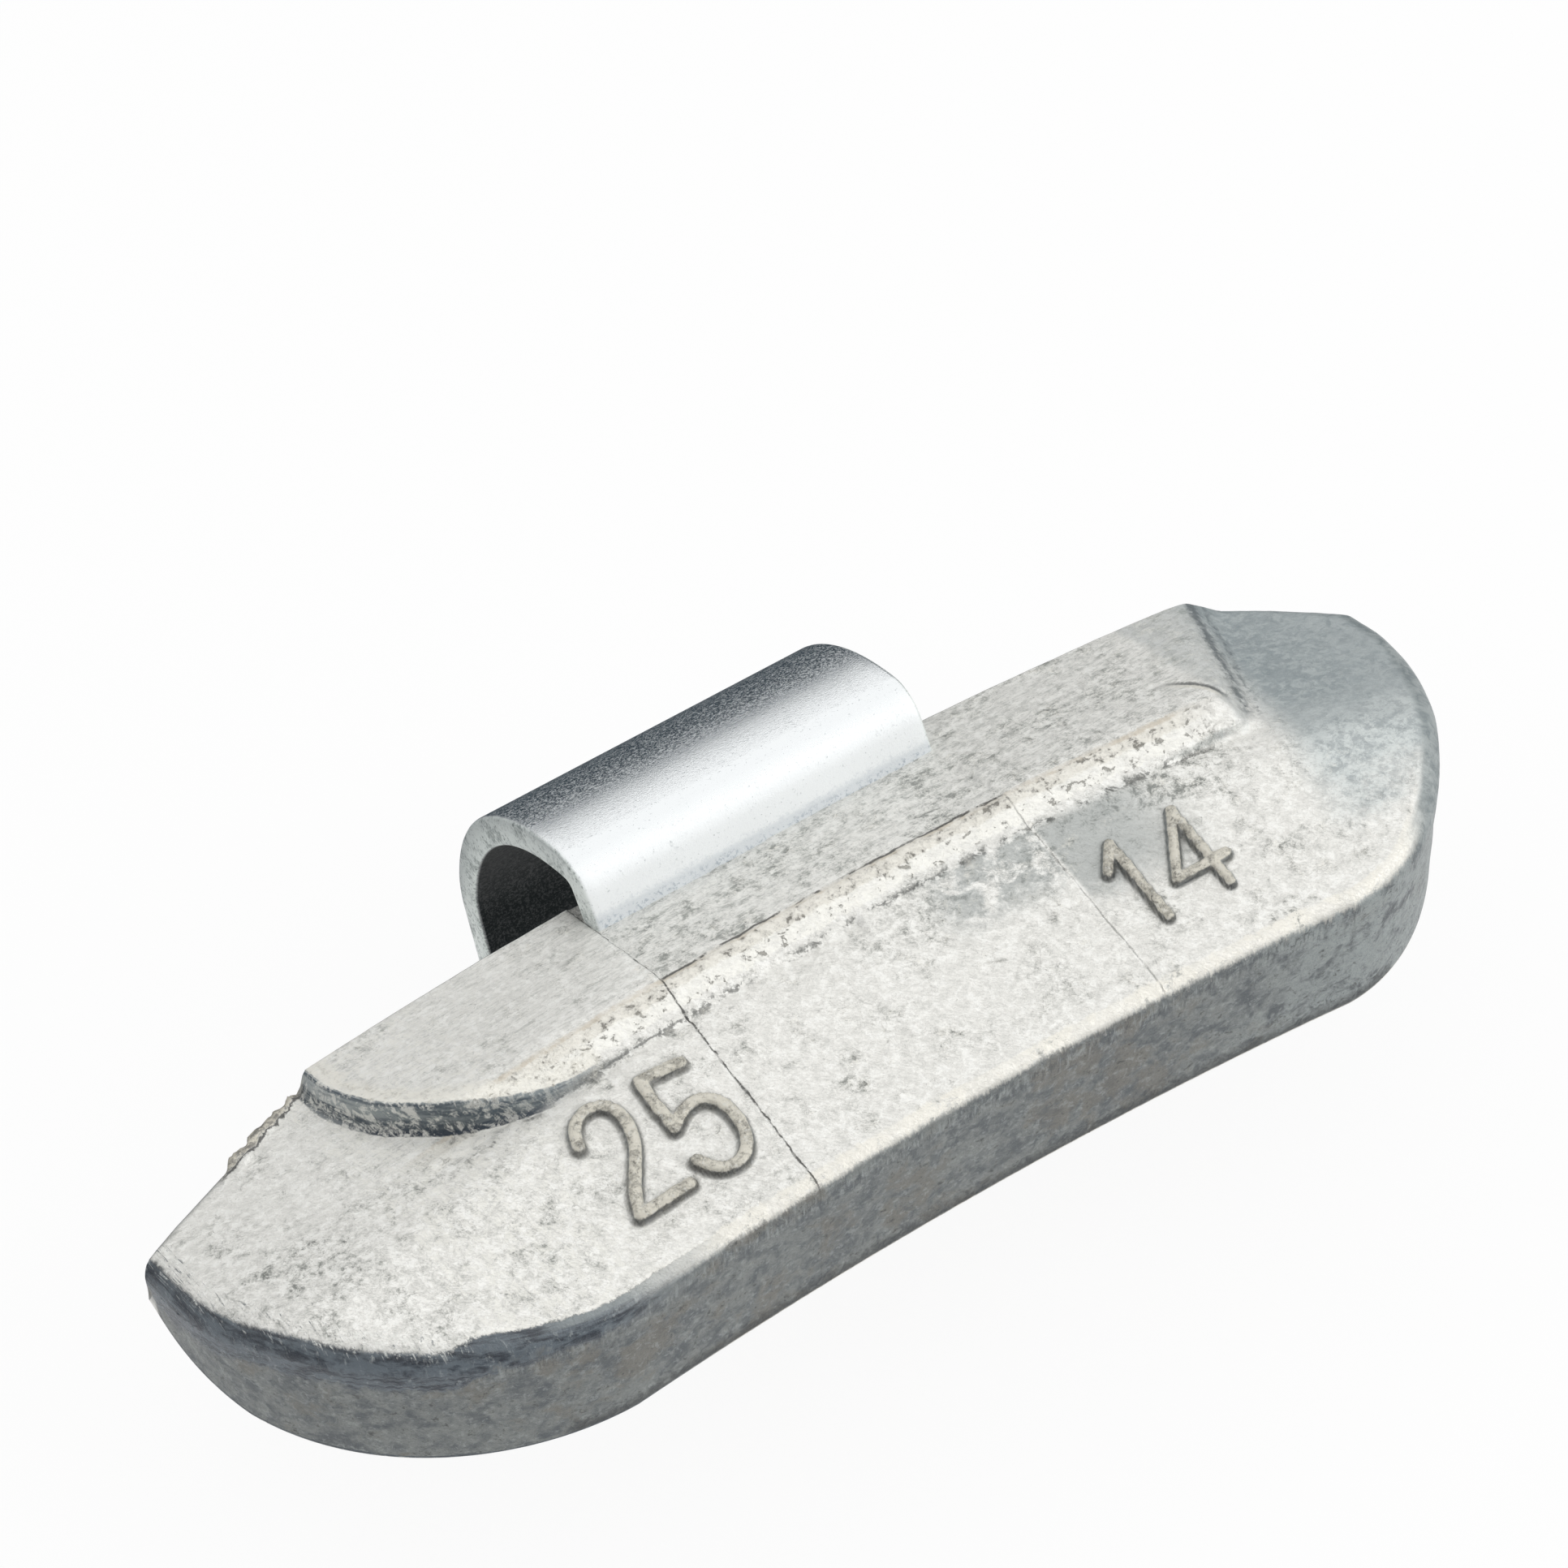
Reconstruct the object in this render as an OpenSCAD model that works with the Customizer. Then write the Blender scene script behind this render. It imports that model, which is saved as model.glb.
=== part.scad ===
/* [Rim] */
// Radius from the wheel's axis to the body's far wall, where the rim's flange stands
rim_radius = 182.5; // [150:0.5:260]

/* [Body] */
// Width of the body across the rim, at the middle
body_depth = 15.6; // [13.5:0.1:19]
// Height of the flat face above the flat back
face_h = 6.05; // [5.4:0.05:7.5]
// Reach of the left end from the middle of the clip
left_reach = 25.7; // [24:0.1:30]
// Reach of the right end from the middle of the clip
right_reach = 23.1; // [22.5:0.1:30]
// Half the length of the near wall before the corners start
near_half = 14.2; // [12:0.1:16]
// Reach of the far wall from the middle of the clip to the right corner
right_far_reach = 19.5; // [18.8:0.1:20.2]
// Distance of the left tip from the near wall
left_tip_inset = 10.1; // [8.5:0.1:11.5]
// Distance of the right tip from the near wall
right_tip_inset = 10.5; // [9.5:0.1:11.5]
// Length of the flat at each tip
tip_flat = 1; // [0.6:0.05:1.6]
// Rounding along the near edge of the face
edge_r = 0.65; // [0.3:0.05:1]
// Rounding along the corners of the face
corner_r = 1.15; // [0.6:0.05:1.4]
// Rounding along the far edge of the ends
far_edge_r = 0.3; // [0.15:0.05:0.5]
// Fall of the ends' slope per unit of width
end_fall = 0.453; // [0.3:0.01:0.5]
// Fall of the left end's slope per unit of length
left_fall = 0.077; // [0:0.01:0.15]
// Fall of the right end's slope per unit of length
right_fall = 0.15; // [0:0.01:0.2]
// Distance of the slope's upper edge from the near wall, at slope_x
slope_inset = 5.85; // [5:0.05:6.5]
// Place along the length where slope_inset holds
slope_x = 16.5; // [14:0.1:18]
// Softening of the slope's upper edge
slope_soft = 0.35; // [0.1:0.05:0.6]
// Width of the back's flat before the relief starts
back_flat = 7.8; // [6:0.1:10]
// Height of the relief at the far wall
relief_h = 1.35; // [0.8:0.05:1.6]

/* [Rib] */
// Reach of the rib and of the far wall from the middle of the clip to the left
rib_left = 18; // [17:0.1:19.5]
// Reach of the rib's ridge from the middle of the clip to the right
rib_right = 15.1; // [14:0.1:16]
// Fall of the slope at the rib's right end
rib_ramp = 48; // [40:1:55]
// Distance of the rib's ridge from the near wall
ridge_inset = 8.3; // [7.8:0.05:8.8]
// Width of the ridge
ridge_w = 1.2; // [0.8:0.05:1.5]
// Height of the ridge above the flat face
ridge_h = 0.3; // [0.1:0.05:0.5]
// Height of the rib at the far wall
rib_far_h = 3; // [2.8:0.05:3.3]
// Radius of the rib's rounded left end
rib_end_r = 7; // [5:0.1:7.5]
// Distance by which the rib's far edge stands out from the wall under it
flash_w = 0.04; // [0.02:0.01:0.1]
// Height of the middle mould insert's face above the flat face
insert_proud = 0.03; // [0.02:0.01:0.08]
// Depth by which the rib's slope is lower between the parting lines
insert_drop = 0.15; // [0.05:0.01:0.25]

/* [Clip] */
// Width of the clip's strip
clip_w = 13.5; // [11.5:0.1:15]
// Thickness of the strip
clip_t = 1.15; // [0.95:0.05:1.25]
// Distance of the clip's foot from the far wall
foot_inset = 1.55; // [1.4:0.05:1.8]
// Height of the clip's foot
foot_h = 3.7; // [3.5:0.05:4]
// Angle at which the clip leaves the rib
foot_angle = 58; // [52:1:62]
// Straight length above the foot
foot_len = 1.2; // [1:0.05:1.6]
// Middle radius of the sharp bend at the foot
heel_r = 0.88; // [0.7:0.01:1.1]
// Turn of the sharp bend
heel_turn = 79; // [74:1:84]
// Middle radius of the hook's back
hook_r = 11.1; // [9:0.1:13]
// Turn of the hook's back
hook_turn = 63.5; // [58:0.5:68]
// Middle radius of the hook's nose
nose_r = 4.6; // [4:0.1:6]
// Turn of the hook's nose
nose_turn = 23; // [18:1:28]
// Straight length of the free leg
leg_len = 3.6; // [2:0.1:5]
// Middle radius of the bend inside the casting
tongue_r = 1.4; // [1.2:0.05:1.6]
// Straight length between the foot and the bend inside the casting
tongue_drop = 0.5; // [0.3:0.05:0.8]
// Flat length of the tongue inside the casting
tongue_len = 6; // [5:0.1:6.5]
// Diameter of the two keying holes in the tongue
key_d = 2.6; // [1.5:0.1:3.2]
// Distance between the keying holes
key_pitch = 6.6; // [5:0.1:7.5]

/* [Numbers] */
// Height of the weight number's digits
digit_h = 4.8; // [3.5:0.1:5]
// Width of a digit
digit_w = 2.4; // [1.8:0.1:2.5]
// Gap between digits
digit_gap = 0.45; // [0.3:0.05:0.7]
// Width of a stroke
stroke_w = 0.45; // [0.3:0.05:0.55]
// Height of the strokes above the face
stroke_h = 0.32; // [0.2:0.02:0.4]
// Height of the mould number's digits
mould_digit_h = 3.8; // [3:0.1:4]
// Gap between the clip's end and the numbers
number_gap = 0.5; // [0.2:0.05:0.8]
// Distance of the numbers from the near wall
number_inset = 1.85; // [1.6:0.05:2.2]

/* [Hidden] */
$fn = 64;
overrun = 1;

near_radius = rim_radius - body_depth;
near_y = -body_depth;
clip_half = clip_w / 2;
corner_rows = 16;
middle_rows = 14;
last_row = 2 * corner_rows + middle_rows;
fillet_columns = 4;
field_columns = 8;
far_columns = 2;
last_column = fillet_columns + field_columns + far_columns;
row_crowding = 1.4;
bend_step = 4;

// Handles of the corner curves, as shares of the body's width and of the tip's inset
left_near_share = 0.31;
left_side_share = 0.72;
right_near_share = 0.35;
right_side_share = 0.32;
left_tip_shares = [0.03, 0.06];
right_tip_shares = [0.03, 0.07];
// Directions of the far corners
left_far_angle = 28;
right_far_angle = 24;
// Height of the rib's underside in the casting, as a share from the relief to the face
rib_low_share = 0.05;

// Distance by which an arc around the wheel's axis drops at a distance x from the middle
function arc_drop(r, x) = r - sqrt(r * r - x * x);
function near_at(x) = near_y - arc_drop(near_radius, x);
function far_at(x) = -flash_w - arc_drop(rim_radius - flash_w, x);
function bezier(p, t) =
    pow(1 - t, 3) * p[0] + 3 * t * pow(1 - t, 2) * p[1] + 3 * t * t * (1 - t) * p[2] + pow(t, 3) * p[3];
function smooth_low(a, b, w) = (a + b - sqrt((a - b) * (a - b) + w * w)) / 2;
function ease(a, b, x) = let (u = min(1, max(0, (x - a) / (b - a)))) u * u * (3 - 2 * u);

// One end's near corner, from the near wall to the tip, and far corner, from the tip to the rib
function near_corner(side, reach, tip, near_share, side_share) = [
    [side * near_half, near_at(near_half)],
    [side * (near_half + near_share * body_depth), near_at(near_half)],
    [side * reach, near_y + tip - side_share * tip],
    [side * reach, near_y + tip]
];
function far_corner(side, reach, tip, far_reach, shares, angle) = [
    [side * reach, near_y + tip + tip_flat],
    [side * reach, near_y + tip + tip_flat + shares[0] * body_depth],
    [side * (far_reach + shares[1] * body_depth * cos(angle)), far_at(far_reach) - shares[1] * body_depth * sin(angle)],
    [side * far_reach, far_at(far_reach)]
];
left_near = near_corner(-1, left_reach, left_tip_inset, left_near_share, left_side_share);
right_near = near_corner(1, right_reach, right_tip_inset, right_near_share, right_side_share);
left_far = far_corner(-1, left_reach, left_tip_inset, rib_left, left_tip_shares, left_far_angle);
right_far = far_corner(1, right_reach, right_tip_inset, right_far_reach, right_tip_shares, right_far_angle);

// Share of a corner's curve at a row counted from the tip
function from_tip(k) = pow(k / corner_rows, row_crowding);
function near_point(i) =
    i <= corner_rows ? bezier(left_near, 1 - from_tip(i))
    : i >= corner_rows + middle_rows ? bezier(right_near, 1 - from_tip(last_row - i))
    : let (x = near_half * (2 * (i - corner_rows) / middle_rows - 1)) [x, near_at(x)];
function far_point(i) =
    i <= corner_rows ? bezier(left_far, from_tip(i))
    : i >= corner_rows + middle_rows ? bezier(right_far, from_tip(last_row - i))
    : let (x = -rib_left + (rib_left + right_far_reach) * (i - corner_rows) / middle_rows) [x, far_at(x)];
near_chain = [for (i = [0:last_row]) near_point(i)];
far_chain = [for (i = [0:last_row]) far_point(i)];
near_rim = concat([far_chain[0]], near_chain, [far_chain[last_row]]);

function segment_distance(p, a, b) =
    let (d = b - a, t = min(1, max(0, ((p - a) * d) / (d * d)))) norm(p - a - t * d);
function chain_distance(p, chain) = min([for (k = [1:len(chain) - 1]) segment_distance(p, chain[k - 1], chain[k])]);
// Drop of a quarter-round edge of radius r at a distance d from the wall
function round_drop(d, r) = d >= r ? 0 : r - sqrt(r * r - (r - d) * (r - d));
function slope_at(x, y) =
    let (along = x < 0 ? left_fall : right_fall, reach = max(clip_half, abs(x)))
    face_h - end_fall * (y - near_y - slope_inset) - along * (reach - slope_x);
function corner_radius(x) = edge_r + (corner_r - edge_r) * ease(near_half, right_reach, abs(x));
function top_at(p) =
    smooth_low(face_h, slope_at(p[0], p[1]), slope_soft)
    - round_drop(chain_distance(p, near_rim), corner_radius(p[0]))
    - round_drop(chain_distance(p, far_chain), far_edge_r);

// Height of the back, which rises towards the far wall
function wall_place(p) = norm([p[0], p[1] + rim_radius]) - near_radius;
function back_at(p) = max(0, (wall_place(p) - back_flat) / (body_depth - back_flat)) * relief_h;

// Share of a row's length at a column, crowded near both edges
function column_share(j, row) =
    let (fit = min(1, row / (3 * corner_r)))
    j <= fillet_columns ? corner_r * fit * pow(j / fillet_columns, 2) / row
    : j >= last_column - far_columns ? 1 - far_edge_r * fit * pow((last_column - j) / far_columns, 2) / row
    : let (a = corner_r * fit / row, b = 1 - far_edge_r * fit / row)
        a + (b - a) * (j - fillet_columns) / field_columns;
function row_point(i, share) = near_chain[i] + share * (far_chain[i] - near_chain[i]);
function top_row(i) =
    let (row = norm(far_chain[i] - near_chain[i]))
    [for (j = [0:last_column]) let (p = row_point(i, column_share(j, row))) [p[0], p[1], top_at(p)]];
function back_row(i) =
    let (a = wall_place(near_chain[i]), b = wall_place(far_chain[i]),
        share = min(0.95, max(0.05, (back_flat - a) / (b - a))))
    [for (s = [0, share, 1]) let (p = row_point(i, s)) [p[0], p[1], back_at(p)]];

// The plain casting: a sloped and rounded top, upright walls and the relieved back
module casting() {
    tops = [for (i = [0:last_row]) top_row(i)];
    backs = [for (i = [0:last_row]) back_row(i)];
    n = last_column + 1;
    m = 3;
    first_back = (last_row + 1) * n;
    function t(i, j) = i * n + j;
    function b(i, j) = first_back + i * m + j;
    top_faces = [for (i = [0:last_row - 1], j = [0:last_column - 1], half = [0, 1])
        half == 0 ? [t(i, j), t(i, j + 1), t(i + 1, j + 1)] : [t(i, j), t(i + 1, j + 1), t(i + 1, j)]];
    back_faces = [for (i = [0:last_row - 1], j = [0:m - 2], half = [0, 1])
        half == 0 ? [b(i, j), b(i + 1, j + 1), b(i, j + 1)] : [b(i, j), b(i + 1, j), b(i + 1, j + 1)]];
    near_faces = [for (i = [0:last_row - 1], half = [0, 1])
        half == 0 ? [b(i, 0), t(i, 0), t(i + 1, 0)] : [b(i, 0), t(i + 1, 0), b(i + 1, 0)]];
    far_faces = [for (i = [0:last_row - 1], half = [0, 1])
        half == 0 ? [b(i, m - 1), t(i + 1, last_column), t(i, last_column)]
        : [b(i, m - 1), b(i + 1, m - 1), t(i + 1, last_column)]];
    left_tip = [concat([for (j = [0:m - 1]) b(0, j)], [for (j = [last_column:-1:0]) t(0, j)])];
    right_tip = [concat([for (j = [0:last_column]) t(last_row, j)], [for (j = [m - 1:-1:0]) b(last_row, j)])];
    polyhedron(concat([for (row = tops) each row], [for (row = backs) each row]),
        concat(top_faces, back_faces, near_faces, far_faces, left_tip, right_tip));
}

// A profile of [distance from the near wall, height], swept around the wheel's axis to a half length
module swept(profile, half) {
    turn = asin(half / near_radius);
    translate([0, -rim_radius, 0])
        rotate([0, 0, 90 - turn])
            rotate_extrude(angle = 2 * turn, $fn = 360)
                polygon([for (p = profile) [near_radius + p[0], p[1]]]);
}

// The face between the two parting lines, left by the mould's middle insert
module middle_insert() {
    top = face_h + insert_proud;
    far = ridge_inset + ridge_w / 2;
    swept([[edge_r, face_h / 2], [edge_r, top], [far, top], [far, face_h / 2]], clip_half);
}

// The raised rib next to the rim, with its ridge, its rounded left end and its sloping right end
module rib() {
    low = relief_h + rib_low_share * (face_h - relief_h);
    crown = ridge_inset + ridge_w;
    difference() {
        intersection() {
            swept([[ridge_inset, low], [ridge_inset, face_h], [crown, face_h + ridge_h], [body_depth, rib_far_h],
                [body_depth, low]], right_far_reach + overrun);
            linear_extrude(2 * face_h)
                rib_outline();
        }
        translate([rib_right, near_y - overrun, face_h + ridge_h])
            rotate([0, rib_ramp, 0])
                cube([body_depth, body_depth + 2 * overrun, body_depth]);
        swept([[crown, face_h + ridge_h - insert_drop], [crown, 2 * face_h], [body_depth + overrun, 2 * face_h],
            [body_depth + overrun, rib_far_h - insert_drop]], clip_half);
    }
}
module rib_outline() {
    end_y = near_at(rib_left) + ridge_inset + rib_end_r;
    translate([-rib_left, end_y])
        square([rib_left + right_far_reach, body_depth]);
    translate([rib_end_r - rib_left, near_y])
        square([rib_left - rib_end_r + right_far_reach, body_depth + overrun]);
    translate([rib_end_r - rib_left, end_y])
        circle(rib_end_r);
}

// A stroke with round ends between two points, and an arc of a ring
module stroke(a, b) {
    d = b - a;
    translate(a)
        rotate(atan2(d[1], d[0]))
            translate([0, -stroke_w / 2])
                square([norm(d), stroke_w]);
    for (p = [a, b])
        translate(p)
            circle(d = stroke_w, $fn = 24);
}
module bow(r, from, to) {
    steps = 16;
    outer = r + stroke_w / 2;
    inner = r - stroke_w / 2;
    polygon(concat(
        [for (k = [0:steps]) let (a = from + (to - from) * k / steps) outer * [cos(a), sin(a)]],
        [for (k = [steps:-1:0]) let (a = from + (to - from) * k / steps) inner * [cos(a), sin(a)]]));
}
module digit_two(w, h) {
    r = (w - stroke_w) / 2;
    low = stroke_w / 2;
    centre = [w / 2, h - low - r];
    turn = -25;
    foot = [low, low];
    translate(centre)
        bow(r, turn, 165);
    stroke(centre + r * [cos(turn), sin(turn)], foot);
    stroke(foot, [w - low, low]);
}
module digit_five(w, h) {
    r = (w - stroke_w) / 2;
    low = stroke_w / 2;
    centre = [w / 2, low + r];
    turn = 140;
    stroke([low * 2, h - low], [w - low, h - low]);
    stroke([low * 2, h - low], centre + r * [cos(turn), sin(turn)]);
    translate(centre)
        bow(r, -150, turn);
}
module digit_one(w, h) {
    low = stroke_w / 2;
    stroke([w / 2, low], [w / 2, h - low]);
    stroke([w / 2, h - low], [low, h - low - w / 3]);
}
module digit_four(w, h) {
    low = stroke_w / 2;
    bar = h / 3;
    stroke([low, bar], [w - low, bar]);
    stroke([low, bar], [w - w / 3, h - low]);
    stroke([w - w / 3, h - low], [w - w / 3, low]);
}
module raised(x) {
    sink = stroke_h;
    translate([x, near_y + number_inset, face_h - sink])
        linear_extrude(sink + stroke_h)
            children();
}
module numbers() {
    two_x = -clip_half - number_gap - 2 * digit_w - digit_gap;
    raised(two_x)
        digit_two(digit_w, digit_h);
    raised(two_x + digit_w + digit_gap)
        digit_five(digit_w, digit_h);
    raised(clip_half + number_gap)
        digit_one(digit_w, mould_digit_h);
    raised(clip_half + number_gap + digit_w)
        digit_four(digit_w, mould_digit_h);
}

module weight_body() {
    color([0.75, 0.76, 0.76])
        difference() {
            union() {
                casting();
                middle_insert();
                rib();
                numbers();
            }
            strip();
        }
}

// The strip's middle line in the side view, as [across the rim, height], with its direction in degrees
function along(a) = [cos(a), sin(a)];
function aside(a) = [-sin(a), cos(a)];
function reverse(list) = [for (k = [len(list) - 1:-1:0]) list[k]];
foot = [-foot_inset, foot_h];
heel_start = foot + foot_len * along(foot_angle);
heel_centre = heel_start - heel_r * aside(foot_angle);
back_angle = foot_angle - heel_turn;
back_start = heel_centre + heel_r * aside(back_angle);
hook_centre = back_start - hook_r * aside(back_angle);
nose_angle = back_angle - hook_turn;
nose_start = hook_centre + hook_r * aside(nose_angle);
nose_centre = nose_start - nose_r * aside(nose_angle);
leg_angle = nose_angle - nose_turn;
leg_start = nose_centre + nose_r * aside(leg_angle);
leg_end = leg_start + leg_len * along(leg_angle);
tongue_start = foot - tongue_drop * along(foot_angle);
tongue_centre = tongue_start + tongue_r * aside(foot_angle);
tongue_level = tongue_centre[1] - tongue_r;
key_y = tongue_centre[0] - tongue_len / 2;

// Points on one side of the strip's middle line: off is the distance aside of it
function bend_points(centre, r, from, to, off) =
    let (steps = ceil(abs(to - from) / bend_step))
    [for (k = [0:steps]) centre + (r + off) * aside(from + (to - from) * k / steps)];
function hook_points(off) = concat(
    bend_points(heel_centre, heel_r, foot_angle, back_angle, off),
    bend_points(hook_centre, hook_r, back_angle - bend_step, nose_angle, off),
    bend_points(nose_centre, nose_r, nose_angle - bend_step, leg_angle, off),
    [leg_end + off * aside(leg_angle)]);
function tongue_points(off) = concat(
    [[tongue_centre[0] - tongue_len, tongue_level + off]],
    bend_points(tongue_centre, -tongue_r, 0, foot_angle, off));
module side_view() {
    half = clip_t / 2;
    polygon(concat(tongue_points(half), hook_points(half), reverse(hook_points(-half)), reverse(tongue_points(-half))));
}
// The whole strip, from the tongue inside the casting over the hook to the free leg
module strip() {
    difference() {
        translate([-clip_half, 0, 0])
            rotate([90, 0, 90])
                linear_extrude(clip_w)
                    side_view();
        for (side = [-1, 1])
            translate([side * key_pitch / 2, key_y, 0])
                cylinder(h = foot_h, d = key_d);
    }
}
module clip() {
    color([0.84, 0.86, 0.88])
        strip();
}

weight_body();
clip();
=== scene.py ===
"""Knock-on wheel balance weight: a cast zinc bar with a bright steel hook, in its studio."""
import math

import bpy
import numpy as np
from bpy.props import FloatProperty, FloatVectorProperty, PointerProperty
from mathutils import Matrix, Vector


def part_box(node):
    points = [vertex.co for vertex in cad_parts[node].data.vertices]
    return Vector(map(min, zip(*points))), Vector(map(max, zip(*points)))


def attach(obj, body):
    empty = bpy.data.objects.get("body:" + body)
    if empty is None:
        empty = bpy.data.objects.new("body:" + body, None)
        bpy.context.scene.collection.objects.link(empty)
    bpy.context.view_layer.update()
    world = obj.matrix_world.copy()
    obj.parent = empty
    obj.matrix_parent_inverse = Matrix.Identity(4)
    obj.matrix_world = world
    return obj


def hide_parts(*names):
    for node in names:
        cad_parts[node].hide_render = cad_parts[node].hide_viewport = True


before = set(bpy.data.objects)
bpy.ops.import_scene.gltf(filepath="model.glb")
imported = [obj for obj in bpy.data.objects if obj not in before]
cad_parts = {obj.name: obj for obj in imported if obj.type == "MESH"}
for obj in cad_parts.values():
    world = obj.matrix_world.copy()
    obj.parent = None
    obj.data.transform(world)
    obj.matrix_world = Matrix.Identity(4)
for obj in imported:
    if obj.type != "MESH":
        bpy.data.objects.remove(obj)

bl_info = {
    "name": "Wheel balance weight",
    "version": (1, 0, 0),
    "blender": (4, 5, 0),
    "location": "View3D > Sidebar > Weight",
    "description": "Cast zinc balance weight with a steel hook, its finishes and a studio",
    "category": "Add Mesh",
}

MM = 0.001
BODY_LOW, BODY_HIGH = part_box("weight_body")
CLIP_LOW, CLIP_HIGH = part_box("clip")


# ---------------------------------------------------------------- settings

def length(name, description, default):
    """A length in metres, shown with its unit."""
    return FloatProperty(name=name, description=description, default=default, min=0.0, precision=5,
                         unit="LENGTH", subtype="DISTANCE")


def colour(name, description, r, g, b):
    """A colour given as display values from 0 to 255, kept as scene-linear values."""
    return FloatVectorProperty(name=name, description=description, subtype="COLOR", size=3, min=0.0, max=1.0,
                               default=linear(r, g, b))


def linear(r, g, b):
    """Display values 0 to 255 to scene-linear: ((c + 0.055) / 1.055) to the power 2.4."""
    return tuple(((c / 255 + 0.055) / 1.055) ** 2.4 if c > 10 else c / 255 / 12.92 for c in (r, g, b))


class WEIGHT_PG_body(bpy.types.PropertyGroup):
    left_reach: length("Left reach", "From the middle of the clip to the left tip", -BODY_LOW.x)
    right_reach: length("Right reach", "From the middle of the clip to the right tip", BODY_HIGH.x)
    depth: length("Depth", "Width of the body across the rim", 15.6 * MM)
    face_height: length("Face height", "Height of the flat face above the back", 6.05 * MM)
    rim_radius: length("Rim radius", "Radius of the body's far wall around the wheel's axis", 182.5 * MM)
    edge_radius: length("Edge radius", "Rounding along the near edge of the face", 0.65 * MM)
    corner_radius: length("Corner radius", "Rounding along the corners of the face", 1.15 * MM)
    rib_left: length("Rib left", "From the middle of the clip to the rib's rounded left end", 18.0 * MM)
    rib_right: length("Rib right", "From the middle of the clip to the ridge's right end", 15.1 * MM)
    far_right: length("Far wall right", "From the middle of the clip to the far wall's right corner", 19.5 * MM)
    rib_end_radius: length("Rib end radius", "Radius of the rib's rounded left end", 7.0 * MM)
    ridge_inset: length("Ridge inset", "From the near wall to the foot of the rib's ridge", 8.3 * MM)
    ridge_height: length("Ridge height", "Height of the ridge above the face", 0.3 * MM)
    stroke_width: length("Stroke width", "Width of the numbers' strokes", 0.45 * MM)
    stroke_height: length("Stroke height", "Height of the numbers above the face", 0.32 * MM)
    unevenness: length("Unevenness", "Waviness of the cast skin", 0.016 * MM)


class WEIGHT_PG_clip(bpy.types.PropertyGroup):
    width: length("Width", "Width of the strip", CLIP_HIGH.x - CLIP_LOW.x)
    thickness: length("Thickness", "Thickness of the strip", 1.15 * MM)
    edge_radius: length("Edge radius", "Roll-over along the stamped edges", 0.16 * MM)
    heel_radius: length("Heel radius", "Middle radius of the sharp bend above the rib", 0.88 * MM)
    hook_radius: length("Hook radius", "Middle radius of the hook's back", 11.1 * MM)
    nose_radius: length("Nose radius", "Middle radius of the hook's nose", 4.6 * MM)
    leg_length: length("Leg length", "Straight length of the free leg", 3.6 * MM)


class WEIGHT_PG_finish(bpy.types.PropertyGroup):
    zinc_pale: colour("Pale zinc", "Bright skin of the casting", 236, 235, 230)
    zinc_grey: colour("Grey zinc", "Dull patches on the casting", 158, 160, 155)
    # This dark also paints the shade at the foot of the ridge
    zinc_dark_and_shade: colour("Dark zinc", "Specks and grime in the corners", 74, 76, 74)
    zinc_wall: colour("Wall zinc", "Skin of the upright walls", 108, 113, 113)
    # The right end's blue-grey is painted shade on its top, which slopes away from the lamps
    zinc_blue_shade: colour("Blue zinc", "Smooth skin at the right end", 138, 149, 153)
    zinc_warm: colour("Warm zinc", "Ridge, edges and strokes", 214, 205, 186)
    plate: colour("Zinc plate", "Bright plating of the clip", 246, 249, 250)
    plate_edge: colour("Sheared edge", "Cut faces of the strip", 232, 238, 235)
    # The inside's near-black is painted shade, not the plate's own colour
    plate_inside_shade: colour("Inside", "Dull inner face of the hook", 18, 24, 25)


class WEIGHT_PG_stage(bpy.types.PropertyGroup):
    floor: colour("Floor", "Colour of the floor", 242, 242, 242)
    top_light: FloatProperty(name="Top light", description="Power of the large soft box overhead", default=2.1,
                             unit="POWER")
    right_light: FloatProperty(name="Right light", description="Power of the soft box at the right", default=0.7,
                               unit="POWER")
    ambient: FloatProperty(name="Ambient", description="Plain light from all around", default=0.45, min=0.0)


# ---------------------------------------------------------------- shapes in numbers

def ease(t):
    """3t² - 2t³ between 0 and 1, flat outside."""
    t = np.clip(t, 0.0, 1.0)
    return t * t * (3 - 2 * t)


def bezier(points, t):
    """Cubic Bezier curve: (1-t)³ a + 3t(1-t)² b + 3t²(1-t) c + t³ d."""
    a, b, c, d = (np.asarray(p)[None] for p in points)
    t = t[:, None]
    return (1 - t) ** 3 * a + 3 * t * (1 - t) ** 2 * b + 3 * t * t * (1 - t) * c + t ** 3 * d


def soft_low(a, b, width):
    """The lower of two values, rounded over a width: (a + b - sqrt((a-b)² + width²)) / 2."""
    return (a + b - np.sqrt((a - b) ** 2 + width * width)) / 2


def uneven(x, y, size, seed):
    """Random heights from -1 to 1: seeded numbers on a square lattice, blended with 3t² - 2t³."""
    lattice = np.random.default_rng(seed).uniform(-1, 1, (97, 97))
    u, v = x / size, y / size
    i, j = np.floor(u).astype(int), np.floor(v).astype(int)
    a, b = ease(u - i), ease(v - j)
    near = lattice[i % 97, j % 97] * (1 - a) + lattice[(i + 1) % 97, j % 97] * a
    far = lattice[i % 97, (j + 1) % 97] * (1 - a) + lattice[(i + 1) % 97, (j + 1) % 97] * a
    return near * (1 - b) + far * b


def rough(x, y, size, seed, octaves=3):
    """A sum of uneven() at halving sizes and heights."""
    return sum(uneven(x + k * 7.3 * size, y - k * 3.1 * size, size / 2 ** k, seed + k) / 2 ** k
               for k in range(octaves))


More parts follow.
